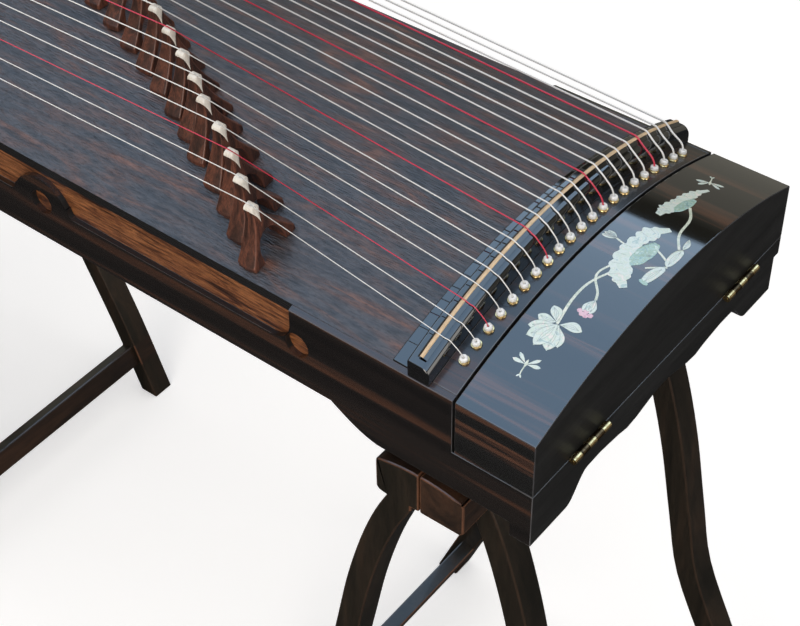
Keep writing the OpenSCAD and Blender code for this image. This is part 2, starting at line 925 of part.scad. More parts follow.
module head_stand_wide() {
    stand_frame(x_head - stand_head_in, z_low, -1, half_wide, true);
}

module head_stand_slim() {
    stand_frame(x_head - stand_head_in, z_low, 1, half_slim, false);
}

module tail_stand_wide() {
    stand_frame(x_head - stand_tail_in, z_mid, 1, half_wide, true);
}

module tail_stand_slim() {
    stand_frame(x_head - stand_tail_in, z_mid, -1, half_slim, false);
}

soundboard();
back_board();
side_aprons();
side_panels();
head_block();
head_nut();
saddle();
grommets();
lid();
hinge_body_leaves();
hinge_lid_leaves();
tail_block();
strings_white();
strings_red();
head_stand_wide();
head_stand_slim();
tail_stand_wide();
tail_stand_slim();
bridge(1);  // bridge_01
bridge(2);  // bridge_02
bridge(3);  // bridge_03
bridge(4);  // bridge_04
bridge(5);  // bridge_05
bridge(6);  // bridge_06
bridge(7);  // bridge_07
bridge(8);  // bridge_08
bridge(9);  // bridge_09
bridge(10);  // bridge_10
bridge(11);  // bridge_11
bridge(12);  // bridge_12
bridge(13);  // bridge_13
bridge(14);  // bridge_14
bridge(15);  // bridge_15
bridge(16);  // bridge_16
bridge(17);  // bridge_17
bridge(18);  // bridge_18
bridge(19);  // bridge_19
bridge(20);  // bridge_20
bridge(21);  // bridge_21
tuning_pin(1);  // tuning_pin_01
tuning_pin(2);  // tuning_pin_02
tuning_pin(3);  // tuning_pin_03
tuning_pin(4);  // tuning_pin_04
tuning_pin(5);  // tuning_pin_05
tuning_pin(6);  // tuning_pin_06
tuning_pin(7);  // tuning_pin_07
tuning_pin(8);  // tuning_pin_08
tuning_pin(9);  // tuning_pin_09
tuning_pin(10);  // tuning_pin_10
tuning_pin(11);  // tuning_pin_11
tuning_pin(12);  // tuning_pin_12
tuning_pin(13);  // tuning_pin_13
tuning_pin(14);  // tuning_pin_14
tuning_pin(15);  // tuning_pin_15
tuning_pin(16);  // tuning_pin_16
tuning_pin(17);  // tuning_pin_17
tuning_pin(18);  // tuning_pin_18
tuning_pin(19);  // tuning_pin_19
tuning_pin(20);  // tuning_pin_20
tuning_pin(21);  // tuning_pin_21
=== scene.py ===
# %% [markdown]
# A guzheng is a long wooden zither: an arched soundboard on a shallow box, twenty-one strings on
# loose bridges, tuning pins under a hinged lid at the head, and two folding stands below. The exact
# solids are loaded first, and this script gives them finishes and models what a plain solid can't show.

import math
import random

import bmesh
import bpy
from mathutils import Matrix, Vector


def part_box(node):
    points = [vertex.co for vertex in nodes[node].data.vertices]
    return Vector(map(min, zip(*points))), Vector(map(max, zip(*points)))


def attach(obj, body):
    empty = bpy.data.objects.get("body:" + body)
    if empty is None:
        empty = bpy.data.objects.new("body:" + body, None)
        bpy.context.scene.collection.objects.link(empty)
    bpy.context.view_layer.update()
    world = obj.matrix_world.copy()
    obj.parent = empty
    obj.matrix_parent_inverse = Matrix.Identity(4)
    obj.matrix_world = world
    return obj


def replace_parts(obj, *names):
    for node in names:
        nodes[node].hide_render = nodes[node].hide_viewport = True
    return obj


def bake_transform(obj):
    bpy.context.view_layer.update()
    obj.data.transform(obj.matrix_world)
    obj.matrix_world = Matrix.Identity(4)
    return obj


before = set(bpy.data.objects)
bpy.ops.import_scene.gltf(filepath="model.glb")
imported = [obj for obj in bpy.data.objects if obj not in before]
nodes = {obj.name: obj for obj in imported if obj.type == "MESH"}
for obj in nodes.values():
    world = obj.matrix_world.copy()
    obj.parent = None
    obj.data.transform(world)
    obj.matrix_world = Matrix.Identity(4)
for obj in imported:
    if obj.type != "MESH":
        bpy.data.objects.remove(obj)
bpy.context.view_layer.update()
print("loaded", len(nodes), "solids")

# %% [markdown]
# Every later piece is placed from a few sizes. The ends and the crown of the arch are read from the
# solids; the rest are the workshop sizes of this instrument, in metres.

# %% Sizes of the instrument
HEAD_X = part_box("lid")[1].x
LID_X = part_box("lid")[0].x
TAIL_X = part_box("tail_block")[0].x
BOARD_R = 0.470
ARCH_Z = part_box("lid")[1].z - BOARD_R
NUT_X = HEAD_X - 0.091
NUT_W = 0.019
SADDLE_X = NUT_X - NUT_W / 2
HOLE_X = LID_X - 0.0130
TAIL_NUT_X = TAIL_X + 0.225
TAIL_HOLE_X = TAIL_NUT_X - 0.022
SEAM_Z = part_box("lid")[0].z
HINGE_Y, HINGE_REACH = 0.105, 0.030
END_BOARD = 0.018
STRINGS = range(1, 22)
RED = (3, 8, 13, 18)
PITCH_HEAD, PITCH_HOLE, PITCH_TAIL, PITCH_BRIDGE = 0.0148, 0.0143, 0.0132, 0.0153
BRIDGE_H, BRIDGE_W, BRIDGE_L, BRIDGE_TOP = 0.051, 0.050, 0.018, 0.0072
REACH = [0.166, 0.189, 0.211, 0.236, 0.265, 0.287, 0.313, 0.341, 0.369, 0.399, 0.431,
         0.465, 0.502, 0.542, 0.585, 0.631, 0.680, 0.732, 0.787, 0.846, 0.909]
PIN_FLOOR_Z = 0.612
NUT_R, NUT_Z = 0.4125, 0.3113


def arch(y, rise=0.0):
    """Height of the arched top at a distance from the middle, plus a rise square to it."""
    return ARCH_Z + math.sqrt((BOARD_R + rise) ** 2 - y * y)


def nut_arch(y, rise=0.0):
    """Height of the tighter arch of the nut."""
    return NUT_Z + math.sqrt((NUT_R + rise) ** 2 - y * y)


def string_d(i):
    """The thickness of string i, from the near side."""
    return 0.0007 + 0.0009 * (i - 1) / 20


def bridge_place(i):
    """The x and y of bridge i, and its lean to either side."""
    x = SADDLE_X - REACH[i - 1]
    share = (x - TAIL_NUT_X) / (SADDLE_X - TAIL_NUT_X)
    y = (i - 11) * (PITCH_TAIL + (PITCH_BRIDGE - PITCH_TAIL) * share)
    return x, y, math.asin(y / (BOARD_R + BRIDGE_H))


print("head end at", round(HEAD_X, 4), "crown at", round(ARCH_Z + BOARD_R, 4))

# %% [markdown]
# The camera stands beside the head end and looks down along the strings. It is set by its place and by
# two angles, because those can be measured, while a target point would hide the shift of the lens.

# %% Camera
camera = bpy.data.objects.new("camera", bpy.data.cameras.new("camera"))
bpy.context.scene.collection.objects.link(camera)
bpy.context.scene.camera = camera
turn, tilt = math.radians(-37.16), math.radians(43.87)
ahead = Vector((math.sin(turn) * math.cos(tilt), math.cos(turn) * math.cos(tilt), -math.sin(tilt)))
right = ahead.cross(Vector((0, 0, 1))).normalized()
up = right.cross(ahead)
camera.matrix_world = (Matrix.Translation((HEAD_X + 0.4502, -0.8871, 1.5875))
                       @ Matrix((right, up, -ahead)).transposed().to_4x4())
camera.data.sensor_width = 36
camera.data.lens = 83.77
camera.data.shift_x = -0.03325
camera.data.shift_y = 0.02375
camera.data.clip_end = 60

# %% [markdown]
# The light is that of a plain studio with a very large pale window overhead. Polished black lacquer is
# mostly mirror, so what shapes it is the edge where the bright window stops low on the far side. The
# floor is a pale sheet. It is kept dim in mirrors, as black cards beside the object would do.

# %% Studio
scene = bpy.context.scene
scene.view_settings.view_transform = "Standard"
world = bpy.data.worlds.new("studio")
scene.world = world
world.use_nodes = True
sky = world.node_tree
for old in list(sky.nodes):
    sky.nodes.remove(old)


def put(tree, kind, values=None, **settings):
    """A new shader node, with its settings and the values of its inputs."""
    made = tree.nodes.new(kind)
    for key, value in settings.items():
        setattr(made, key, value)
    for key, value in (values or {}).items():
        made.inputs[key].default_value = value
    return made


def ramp(tree, factor, stops, kind="LINEAR"):
    """A colour ramp driven by a socket. Each stop is a position and a colour."""
    made = tree.nodes.new("ShaderNodeValToRGB")
    made.color_ramp.interpolation = kind
    points = made.color_ramp.elements
    while len(points) < len(stops):
        points.new(0.5)
    for point, (where, colour) in zip(points, stops):
        point.position = where
        point.color = (*colour, 1)
    tree.links.new(factor, made.inputs[0])
    return made.outputs[0]


def mix(tree, factor, a, b, blend="MIX"):
    """Mixes two colours. Each may be a socket or a plain colour."""
    made = tree.nodes.new("ShaderNodeMix")
    made.data_type = "RGBA"
    made.blend_type = blend
    for socket, value in zip((made.inputs[0], made.inputs[6], made.inputs[7]), (factor, a, b)):
        if isinstance(value, bpy.types.NodeSocket):
            tree.links.new(value, socket)
        elif isinstance(value, (int, float)):
            socket.default_value = value
        else:
            socket.default_value = (*value, 1)
    return made.outputs[2]


def calc(tree, operation, a, b=0.0, clamp=False):
    """One step of arithmetic between sockets or numbers."""
    made = tree.nodes.new("ShaderNodeMath")
    made.operation = operation
    made.use_clamp = clamp
    for socket, value in zip(made.inputs, (a, b)):
        if isinstance(value, bpy.types.NodeSocket):
            tree.links.new(value, socket)
        else:
            socket.default_value = value
    return made.outputs[0]


place = put(sky, "ShaderNodeTexCoord")
split = put(sky, "ShaderNodeSeparateXYZ")
sky.links.new(place.outputs["Generated"], split.inputs[0])
wobble = put(sky, "ShaderNodeTexNoise", {"Scale": 5.0, "Detail": 3.0})
sky.links.new(place.outputs["Generated"], wobble.inputs["Vector"])
waver = calc(sky, "MULTIPLY", calc(sky, "SUBTRACT", wobble.outputs[0], 0.5), 0.10)
height = calc(sky, "ADD", split.outputs[2], waver)
room, black_card = (0.10, 0.095, 0.080), (0.018, 0.017, 0.012)
window = ramp(sky, height, [(0.0, room), (0.34, room), (0.47, black_card), (0.535, black_card),
                            (0.55, (0.52, 0.71, 0.94)), (1.0, (0.36, 0.55, 0.80))])
path = put(sky, "ShaderNodeLightPath")
lit = put(sky, "ShaderNodeBackground")
plain_window = ramp(sky, height, [(0.50, (0.05, 0.05, 0.05)), (0.60, (0.66, 0.65, 0.64))])
seen_in = mix(sky, path.outputs["Is Glossy Ray"], plain_window, window)
sky.links.new(seen_in, lit.inputs["Color"])
strength = calc(sky, "ADD", 1.45, calc(sky, "MULTIPLY", path.outputs["Is Glossy Ray"], 1.5))
sky.links.new(strength, lit.inputs["Strength"])
plain = put(sky, "ShaderNodeBackground", {"Color": (0.93, 0.94, 0.95, 1), "Strength": 1.0})
either = put(sky, "ShaderNodeMixShader")
sky.links.new(path.outputs["Is Camera Ray"], either.inputs[0])
sky.links.new(lit.outputs[0], either.inputs[1])
sky.links.new(plain.outputs[0], either.inputs[2])
sky.links.new(either.outputs[0], put(sky, "ShaderNodeOutputWorld").inputs[0])


def softbox(name, where, towards, size, power, colour):
    """A square studio lamp that faces a point."""
    data = bpy.data.lights.new(name, "AREA")
    data.size, data.energy, data.color = size, power, colour
    lamp = bpy.data.objects.new(name, data)
    scene.collection.objects.link(lamp)
    lamp.location = where
    lamp.rotation_euler = (Vector(towards) - Vector(where)).to_track_quat("-Z", "Y").to_euler()
    return lamp


middle = (HEAD_X - 0.2, 0, 0.5)
softbox("key_lamp", (HEAD_X + 0.6, -2.4, 1.3), middle, 1.6, 42, (1.0, 0.93, 0.85))
softbox("end_lamp", (HEAD_X + 2.3, 0.2, 1.1), middle, 1.2, 10, (1.0, 0.97, 0.94))

# %% [markdown]
# The floor isn't part of the object. A light path switch makes it dim in mirrors only, so that the
# polished end and the undersides keep their depth.

# %% Floor
floor_mesh = bpy.data.meshes.new("studio_floor")
bm = bmesh.new()
bmesh.ops.create_grid(bm, x_segments=1, y_segments=1, size=9)
bm.to_mesh(floor_mesh)
bm.free()
floor = bpy.data.objects.new("studio_floor", floor_mesh)
scene.collection.objects.link(floor)
paper = bpy.data.materials.new("studio_paper")
paper.use_nodes = True
sheet = paper.node_tree
seen = put(sheet, "ShaderNodeLightPath")
tone = mix(sheet, seen.outputs["Is Glossy Ray"], (0.88, 0.88, 0.88), (0.04, 0.04, 0.04))
sheet.links.new(tone, sheet.nodes["Principled BSDF"].inputs["Base Color"])
sheet.nodes["Principled BSDF"].inputs["Emission Color"].default_value = (0.84, 0.85, 0.87, 1)
glow = calc(sheet, "MULTIPLY", seen.outputs["Is Camera Ray"], 0.42)
sheet.links.new(glow, sheet.nodes["Principled BSDF"].inputs["Emission Strength"])
sheet.nodes["Principled BSDF"].inputs["Roughness"].default_value = 0.9
sheet.nodes["Principled BSDF"].inputs["Specular IOR Level"].default_value = 0.1
floor_mesh.materials.append(paper)

# %% [markdown]
# Nearly everything here is wood, so the grain is one shader group that every wood shares. It stretches
# noise along the board: wide slow noise for the dark and light bands, and thin noise for the fibres.
# A second group marks the edges, with wear and with a painted highlight. It takes a value painted on the
# bevelled edges and breaks it up.

# %% Shared grain and wear
def new_group(name, inputs, outputs):
    """An empty shader group with named sockets. Returns it with its inner ends."""
    made = bpy.data.node_groups.new(name, "ShaderNodeTree")
    for label, kind, value in inputs:
        socket = made.interface.new_socket(label, in_out="INPUT", socket_type=kind)
        if value is not None:
            socket.default_value = value
    for label, kind in outputs:
        made.interface.new_socket(label, in_out="OUTPUT", socket_type=kind)
    return made, put(made, "NodeGroupInput"), put(made, "NodeGroupOutput")


grain, given, result = new_group(
    "wood_grain",
    [("Stretch", "NodeSocketVector", (4.0, 60.0, 60.0)), ("Warp", "NodeSocketFloat", 0.6)],
    [("Bands", "NodeSocketFloat"), ("Fibres", "NodeSocketFloat"), ("Pores", "NodeSocketFloat")])
spot = put(grain, "ShaderNodeTexCoord").outputs["Object"]
scaled = put(grain, "ShaderNodeVectorMath", operation="MULTIPLY")
grain.links.new(spot, scaled.inputs[0])
grain.links.new(given.outputs["Stretch"], scaled.inputs[1])
wide = put(grain, "ShaderNodeTexNoise", {"Scale": 1.0, "Detail": 5.0, "Roughness": 0.55})
fine = put(grain, "ShaderNodeTexNoise", {"Scale": 6.0, "Detail": 4.0, "Roughness": 0.6})
pits = put(grain, "ShaderNodeTexNoise", {"Scale": 17.0, "Detail": 2.0, "Roughness": 0.5})
for noise in (wide, fine, pits):
    grain.links.new(scaled.outputs[0], noise.inputs["Vector"])
grain.links.new(given.outputs["Warp"], wide.inputs["Distortion"])
grain.links.new(wide.outputs[0], result.inputs["Bands"])
grain.links.new(fine.outputs[0], result.inputs["Fibres"])
grain.links.new(pits.outputs[0], result.inputs["Pores"])

wear_and_highlight, given, result = new_group(
    "edge_wear_and_highlight",
    [("Amount", "NodeSocketFloat", 1.0), ("Patch", "NodeSocketFloat", 40.0)],
    [("Mask", "NodeSocketFloat")])
worn = put(wear_and_highlight, "ShaderNodeAttribute", attribute_name="worn", attribute_type="GEOMETRY")
patch = put(wear_and_highlight, "ShaderNodeTexNoise", {"Detail": 3.0})
wear_and_highlight.links.new(put(wear_and_highlight, "ShaderNodeTexCoord").outputs["Object"], patch.inputs["Vector"])
wear_and_highlight.links.new(given.outputs["Patch"], patch.inputs["Scale"])
broken = calc(wear_and_highlight, "MULTIPLY", given.outputs["Amount"], patch.outputs[0])
part = calc(wear_and_highlight, "MULTIPLY", worn.outputs["Fac"], broken)
wear_and_highlight.links.new(calc(wear_and_highlight, "MULTIPLY", part, 1.6, clamp=True), result.inputs["Mask"])
print("made groups", grain.name, wear_and_highlight.name)


# %% [markdown]
# A wood is then a recipe: two or more band colours, how far the grain is stretched along each axis, how
# glossy the finish is, and how deep the pores are. Lacquered pieces carry a clear coat over the colour.

# %% Recipes for the finishes
def finish(name, colour=(0.5, 0.5, 0.5), rough=0.4, metal=0.0, coat=0.0, specular=0.5):
    """A named finish with its plain values set on the shader itself."""
    made = bpy.data.materials.new(name)
    made.use_nodes = True
    made.diffuse_color = (*colour, 1)
    shader = made.node_tree.nodes["Principled BSDF"]
    for label, value in (("Base Color", (*colour, 1)), ("Roughness", rough), ("Metallic", metal),
                         ("Coat Weight", coat), ("Coat Roughness", 0.03), ("Specular IOR Level", specular)):
        shader.inputs[label].default_value = value
    return made, made.node_tree, shader


def bump(tree, shader, height_socket, strength, depth):
    """Raises the surface by a socket's value."""
    made = put(tree, "ShaderNodeBump", {"Strength": strength, "Distance": depth})
    tree.links.new(height_socket, made.inputs["Height"])
    tree.links.new(made.outputs[0], shader.inputs["Normal"])


def wood(name, bands, stretch, rough=(0.3, 0.5), fibre=0.5, warp=0.6, depth=0.0002, coat=0.0,
         specular=0.5, wear_and_highlight_colour=None, wear_and_highlight_amount=1.0):
    """A wood with bands, darker fibres and fine pores."""
    made, tree, shader = finish(name, bands[len(bands) // 2][1], rough[0], coat=coat, specular=specular)
    marks = put(tree, "ShaderNodeGroup", node_tree=grain)
    marks.inputs["Stretch"].default_value = stretch
    marks.inputs["Warp"].default_value = warp
    colour = ramp(tree, marks.outputs["Bands"], bands)
    dark = ramp(tree, marks.outputs["Fibres"], [(0.32, (0.35, 0.33, 0.32)), (0.62, (1.0, 1.0, 1.0))])
    colour = mix(tree, fibre, colour, mix(tree, 1.0, colour, dark, "MULTIPLY"))
    pore = ramp(tree, marks.outputs["Pores"], [(0.34, (0.45, 0.45, 0.45)), (0.46, (1, 1, 1))])
    colour = mix(tree, fibre * 0.8, colour, mix(tree, 1.0, colour, pore, "MULTIPLY"))
    if wear_and_highlight_colour:
        edge = put(tree, "ShaderNodeGroup", {"Amount": wear_and_highlight_amount}, node_tree=wear_and_highlight)
        colour = mix(tree, edge.outputs["Mask"], colour, wear_and_highlight_colour)
    tree.links.new(colour, shader.inputs["Base Color"])
    gloss = put(tree, "ShaderNodeMapRange", {"To Min": rough[1], "To Max": rough[0]})
    tree.links.new(marks.outputs["Fibres"], gloss.inputs[0])
    tree.links.new(gloss.outputs[0], shader.inputs["Roughness"])
    bump(tree, shader, marks.outputs["Pores"], 0.6, depth)
    return made


soundboard_wood = wood(
    "charred_soundboard", [(0.30, (0.050, 0.050, 0.058)), (0.46, (0.075, 0.066, 0.070)),
                           (0.58, (0.105, 0.062, 0.052)), (0.70, (0.190, 0.085, 0.055))],
    (9.0, 50.0, 50.0), rough=(0.30, 0.44), fibre=1.0, warp=1.8, depth=0.0016)
# On the ebony, the lacquered ebony and the satin end, the grey edge colour is partly wear and partly a
# painted highlight along the bevels.
ebony = wood(
    "streaked_ebony", [(0.36, (0.006, 0.005, 0.005)), (0.52, (0.013, 0.010, 0.009)),
                       (0.60, (0.055, 0.024, 0.014)), (0.66, (0.012, 0.009, 0.008)),
                       (0.78, (0.060, 0.027, 0.016))],
    (1.2, 30.0, 60.0), rough=(0.20, 0.28), fibre=0.2, warp=0.3, depth=0.00001, coat=0.25,
    wear_and_highlight_colour=(0.11, 0.11, 0.115), wear_and_highlight_amount=0.9)
lid_wood = wood(
    "lacquered_ebony", [(0.36, (0.005, 0.005, 0.005)), (0.54, (0.008, 0.008, 0.008)),
                        (0.61, (0.080, 0.036, 0.022)), (0.67, (0.008, 0.007, 0.007)),
                        (0.80, (0.080, 0.036, 0.022))],
    (1.2, 34.0, 60.0), rough=(0.05, 0.08), fibre=0.12, warp=0.3, depth=0.00001, coat=1.0,
    wear_and_highlight_colour=(0.06, 0.06, 0.065), wear_and_highlight_amount=0.6)
end_finish = wood(
    "satin_end", [(0.4, (0.012, 0.012, 0.012)), (0.6, (0.018, 0.018, 0.018))],
    (60.0, 5.0, 60.0), rough=(0.38, 0.48), fibre=0.3, depth=0.00006, specular=0.35,
    wear_and_highlight_colour=(0.045, 0.045, 0.048), wear_and_highlight_amount=0.8)
panel_wood = wood(
    "striped_panel", [(0.34, (0.030, 0.010, 0.005)), (0.44, (0.150, 0.050, 0.017)),
                      (0.55, (0.330, 0.125, 0.042)), (0.62, (0.120, 0.038, 0.014)),
                      (0.70, (0.260, 0.090, 0.030))],
    (14.0, 60.0, 150.0), rough=(0.30, 0.46), fibre=0.95, warp=1.5, depth=0.0004)
rosewood = wood(
    "rosewood", [(0.34, (0.040, 0.016, 0.010)), (0.48, (0.085, 0.032, 0.020)),
                 (0.60, (0.170, 0.058, 0.032)), (0.72, (0.060, 0.022, 0.014))],
    (160.0, 160.0, 22.0), rough=(0.34, 0.5), fibre=0.9, depth=0.0002,
    wear_and_highlight_colour=(0.17, 0.06, 0.035), wear_and_highlight_amount=0.6)
stand_wood = wood(
    "stained_stand", [(0.34, (0.010, 0.008, 0.005)), (0.52, (0.019, 0.014, 0.009)),
                      (0.72, (0.036, 0.022, 0.013))],
    (40.0, 40.0, 5.0), rough=(0.26, 0.36), fibre=0.5, depth=0.0001, coat=0.15,
    wear_and_highlight_colour=(0.05, 0.026, 0.015), wear_and_highlight_amount=0.5)
rail_wood = wood(
    "stained_rail", [(0.34, (0.014, 0.009, 0.007)), (0.52, (0.034, 0.018, 0.011)),
                     (0.72, (0.065, 0.030, 0.016))],
    (40.0, 5.0, 40.0), rough=(0.26, 0.36), fibre=0.5, depth=0.0001, coat=0.15,
    wear_and_highlight_colour=(0.13, 0.055, 0.028), wear_and_highlight_amount=0.8)
plain_wood = wood(
    "plain_board", [(0.35, (0.10, 0.055, 0.030)), (0.55, (0.17, 0.095, 0.050)), (0.75, (0.13, 0.07, 0.038))],
    (3.0, 50.0, 50.0), rough=(0.45, 0.6), fibre=0.5)

lacquer, tree, shader = finish("black_lacquer", (0.004, 0.004, 0.0045), 0.05, coat=1.0)
ripple = put(tree, "ShaderNodeTexNoise", {"Scale": 22.0, "Detail": 1.0})
tree.links.new(put(tree, "ShaderNodeTexCoord").outputs["Object"], ripple.inputs["Vector"])
haze = ramp(tree, ripple.outputs[0], [(0.3, (0.03, 0.03, 0.03)), (0.7, (0.09, 0.09, 0.09))])
tree.links.new(haze, shader.inputs["Roughness"])
bump(tree, shader, ripple.outputs[0], 0.25, 0.0006)

horn = wood(
    "saddle_horn", [(0.35, (0.62, 0.43, 0.24)), (0.6, (0.80, 0.60, 0.38))],
    (60.0, 6.0, 60.0), rough=(0.25, 0.4), fibre=0.4, depth=0.0001)


def metal_finish(name, light, dull, rough):
    """Polished metal with a thin uneven tarnish."""
    made, tree, shader = finish(name, light, rough, metal=1.0)
    cloud = put(tree, "ShaderNodeTexNoise", {"Scale": 300.0, "Detail": 4.0})
    tree.links.new(put(tree, "ShaderNodeTexCoord").outputs["Object"], cloud.inputs["Vector"])
    tree.links.new(ramp(tree, cloud.outputs[0], [(0.35, dull), (0.6, light)]), shader.inputs["Base Color"])
    spread = put(tree, "ShaderNodeMapRange", {"To Min": rough + 0.12, "To Max": rough - 0.08})
    tree.links.new(cloud.outputs[0], spread.inputs[0])
    tree.links.new(spread.outputs[0], shader.inputs["Roughness"])
    return made


brass = metal_finish("old_brass", (0.80, 0.60, 0.30), (0.45, 0.30, 0.13), 0.24)
# A dark metal for the lid's hinge leaves, so that their knuckles show dark between the brass knuckles of the
# body's leaves.
dark_hinge_metal = metal_finish("darkened_hinge_metal", (0.16, 0.10, 0.05), (0.05, 0.035, 0.02), 0.3)
nickel = metal_finish("nickel", (0.70, 0.70, 0.72), (0.50, 0.50, 0.52), 0.2)


def nylon(name, colour, shade):
    """A wound string: close turns of filament round a core."""
    made, tree, shader = finish(name, colour, 0.32, coat=0.2)
    spiral = put(tree, "ShaderNodeTexWave", {"Scale": 900.0, "Distortion": 0.0}, bands_direction="X")
    tree.links.new(put(tree, "ShaderNodeTexCoord").outputs["Object"], spiral.inputs["Vector"])
    tree.links.new(ramp(tree, spiral.outputs[0], [(0.0, shade), (0.7, colour)]), shader.inputs["Base Color"])
    bump(tree, shader, spiral.outputs[0], 0.3, 0.00005)
    return made


white_nylon = nylon("white_nylon", (0.84, 0.84, 0.83), (0.62, 0.62, 0.62))
red_nylon = nylon("red_nylon", (0.66, 0.03, 0.075), (0.45, 0.015, 0.04))


def shell_finish(name, stops, cell=160.0):
    """Mother of pearl: clouds of close colours that drift across one another."""
    made, tree, shader = finish(name, stops[0][1], 0.16, coat=0.6)
    warp = put(tree, "ShaderNodeTexNoise", {"Scale": cell, "Detail": 3.0, "Distortion": 1.4})
    tree.links.new(put(tree, "ShaderNodeTexCoord").outputs["Object"], warp.inputs["Vector"])
    tree.links.new(ramp(tree, warp.outputs[0], stops), shader.inputs["Base Color"])
    bump(tree, shader, warp.outputs[0], 0.15, 0.0001)
    return made


pearl = shell_finish("pearl", [(0.30, (0.42, 0.58, 0.58)), (0.45, (0.72, 0.81, 0.79)),
                               (0.56, (0.60, 0.74, 0.66)), (0.68, (0.84, 0.80, 0.78))])
abalone = shell_finish("abalone", [(0.30, (0.16, 0.33, 0.32)), (0.45, (0.42, 0.62, 0.60)),
                                   (0.58, (0.30, 0.46, 0.34)), (0.70, (0.62, 0.78, 0.74))], 260.0)
pink_shell = shell_finish("pink_shell", [(0.32, (0.62, 0.34, 0.46)), (0.62, (0.80, 0.56, 0.66))], 300.0)
stem_shell = shell_finish("stem_shell", [(0.35, (0.50, 0.60, 0.50)), (0.65, (0.80, 0.84, 0.74))], 320.0)
ivory = wood("ivory_cap", [(0.35, (0.68, 0.62, 0.54)), (0.6, (0.84, 0.80, 0.73))],
             (120.0, 120.0, 25.0), rough=(0.22, 0.36), fibre=0.15, depth=0.00005)
bead_white, tree, shader = finish("milky_bead", (0.84, 0.84, 0.83), 0.18, coat=0.5)
cloud = put(tree, "ShaderNodeTexNoise", {"Scale": 500.0, "Detail": 2.0})
tree.links.new(put(tree, "ShaderNodeTexCoord").outputs["Object"], cloud.inputs["Vector"])
tree.links.new(ramp(tree, cloud.outputs[0], [(0.35, (0.66, 0.66, 0.66)), (0.6, (0.88, 0.88, 0.87))]),
               shader.inputs["Base Color"])
print("finishes ready:", len(bpy.data.materials))

# %% [markdown]
# A solid from the drawings has perfectly sharp edges, and no real edge is. So the pieces whose edges
# catch the light are copied, cleaned, and bevelled. The new narrow faces are marked, corner by corner, for
# wear and a painted highlight, so that the mark stays on the edge and doesn't run across the flats.

# %% Helpers for pieces
def settle(bm, name, finishes, body):
    """Turns a bmesh into a finished piece that rides on a body."""
    mesh = bpy.data.meshes.new(name)
    bm.to_mesh(mesh)
    bm.free()
    piece = bpy.data.objects.new(name, mesh)
    scene.collection.objects.link(piece)
    for one in finishes:
        mesh.materials.append(one)
    if body:
        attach(piece, body)
    return piece


def crease(bm, fresh=(), angle=32):
    """Smooth shading across gentle edges, and a clean break where a bevel meets a flat."""
    fresh = set(fresh)
    for face in bm.faces:
        face.smooth = True
    for edge in bm.edges:
        if len(edge.link_faces) != 2:
            continue
        on_bevel = sum(face in fresh for face in edge.link_faces)
        edge.smooth = on_bevel != 1 and edge.calc_face_angle(0) < math.radians(angle)


def round_edges(bm, edges, width, steps=2):
    """Bevels edges and marks the corners of the new faces for wear and a painted highlight."""
    layer = bm.loops.layers.float.get("worn") or bm.loops.layers.float.new("worn")
    made = bmesh.ops.bevel(bm, geom=list(edges), offset=width, offset_type="OFFSET", affect="EDGES",
                           segments=steps, profile=0.5, material=-1, clamp_overlap=False)
    for face in made["faces"]:
        for loop in face.loops:
            loop[layer] = 1.0
    return made["faces"]


def true_arch(mesh):
    """Gives faces that lie on the arched top the exact normals of the arch, so mirrors stay smooth."""
    normals = [(0.0, 0.0, 0.0)] * len(mesh.loops)
    for face in mesh.polygons:
        off = Vector((0, face.center.y, face.center.z - ARCH_Z))
        if abs(off.length - BOARD_R) > 0.002 or face.normal.dot(off.normalized()) < 0.9985:
            continue
        for k in face.loop_indices:
            spot = mesh.vertices[mesh.loops[k].vertex_index].co
            normals[k] = Vector((0, spot.y, spot.z - ARCH_Z)).normalized()
    mesh.normals_split_custom_set(normals)


def softened(node, name, body, width, skip=None, choose=None, finishes=None, steps=2):
    """A copy of a solid with its sharp edges rounded. skip keeps some edges, choose picks finishes."""
    bm = bmesh.new()
    bm.from_mesh(nodes[node].data)
    bmesh.ops.remove_doubles(bm, verts=bm.verts, dist=0.00002)
    bmesh.ops.dissolve_limit(bm, angle_limit=math.radians(0.05), verts=bm.verts, edges=bm.edges)
    bmesh.ops.dissolve_degenerate(bm, dist=0.00003, edges=bm.edges)
    sharp = []
    for edge in bm.edges:
        if len(edge.link_faces) != 2 or edge.calc_face_angle(0) < math.radians(35):
            continue
        if min(face.calc_area() for face in edge.link_faces) < 1e-8:
            continue
        centre = (edge.verts[0].co + edge.verts[1].co) / 2
        if edge.is_convex and not (skip and skip(centre, edge)):
            sharp.append(edge)
    fresh = round_edges(bm, sharp, width, steps)
    bm.normal_update()
    if choose:
        for face in bm.faces:
            face.material_index = choose(face)
    crease(bm, fresh)
    print(name, "has", len(sharp), "rounded edges")
    piece = settle(bm, name, finishes, body)
    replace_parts(piece, node)
    true_arch(piece.data)
    return piece


def repaint(node, material):
    """Gives a solid that keeps its own shape another finish."""
    target = nodes[node]
    target.data.materials.clear()
    target.data.materials.append(material)


# %% [markdown]
# The solids of the case keep their shape but lose their sharp corners. The lid, the nut and the tail are
# lacquered, the sides are streaked ebony, and the end that faces the head is satin.

# %% Case, lid and boards
def at_hinge(centre, edge):
    """The hinge seats and the joint of the end board stay crisp."""
    low = abs(centre.z - SEAM_Z) < 0.012 and centre.x > HEAD_X - 0.014
    near = low and abs(abs(centre.y) - HINGE_Y) < HINGE_REACH
    joint = abs(centre.x - HEAD_X + END_BOARD) < 0.001 and abs(centre.y) > 0.14
    return near or joint or edge.calc_length() < 0.0009


def short_or_hinge(centre, edge):
    """The small facets of the lobes and buttons stay crisp too."""
    return at_hinge(centre, edge) or edge.calc_length() < 0.012


def faces_head(face):
    """Index 1, the satin end finish, for faces that look toward the head."""
    return 1 if face.normal.x > 0.7 else 0


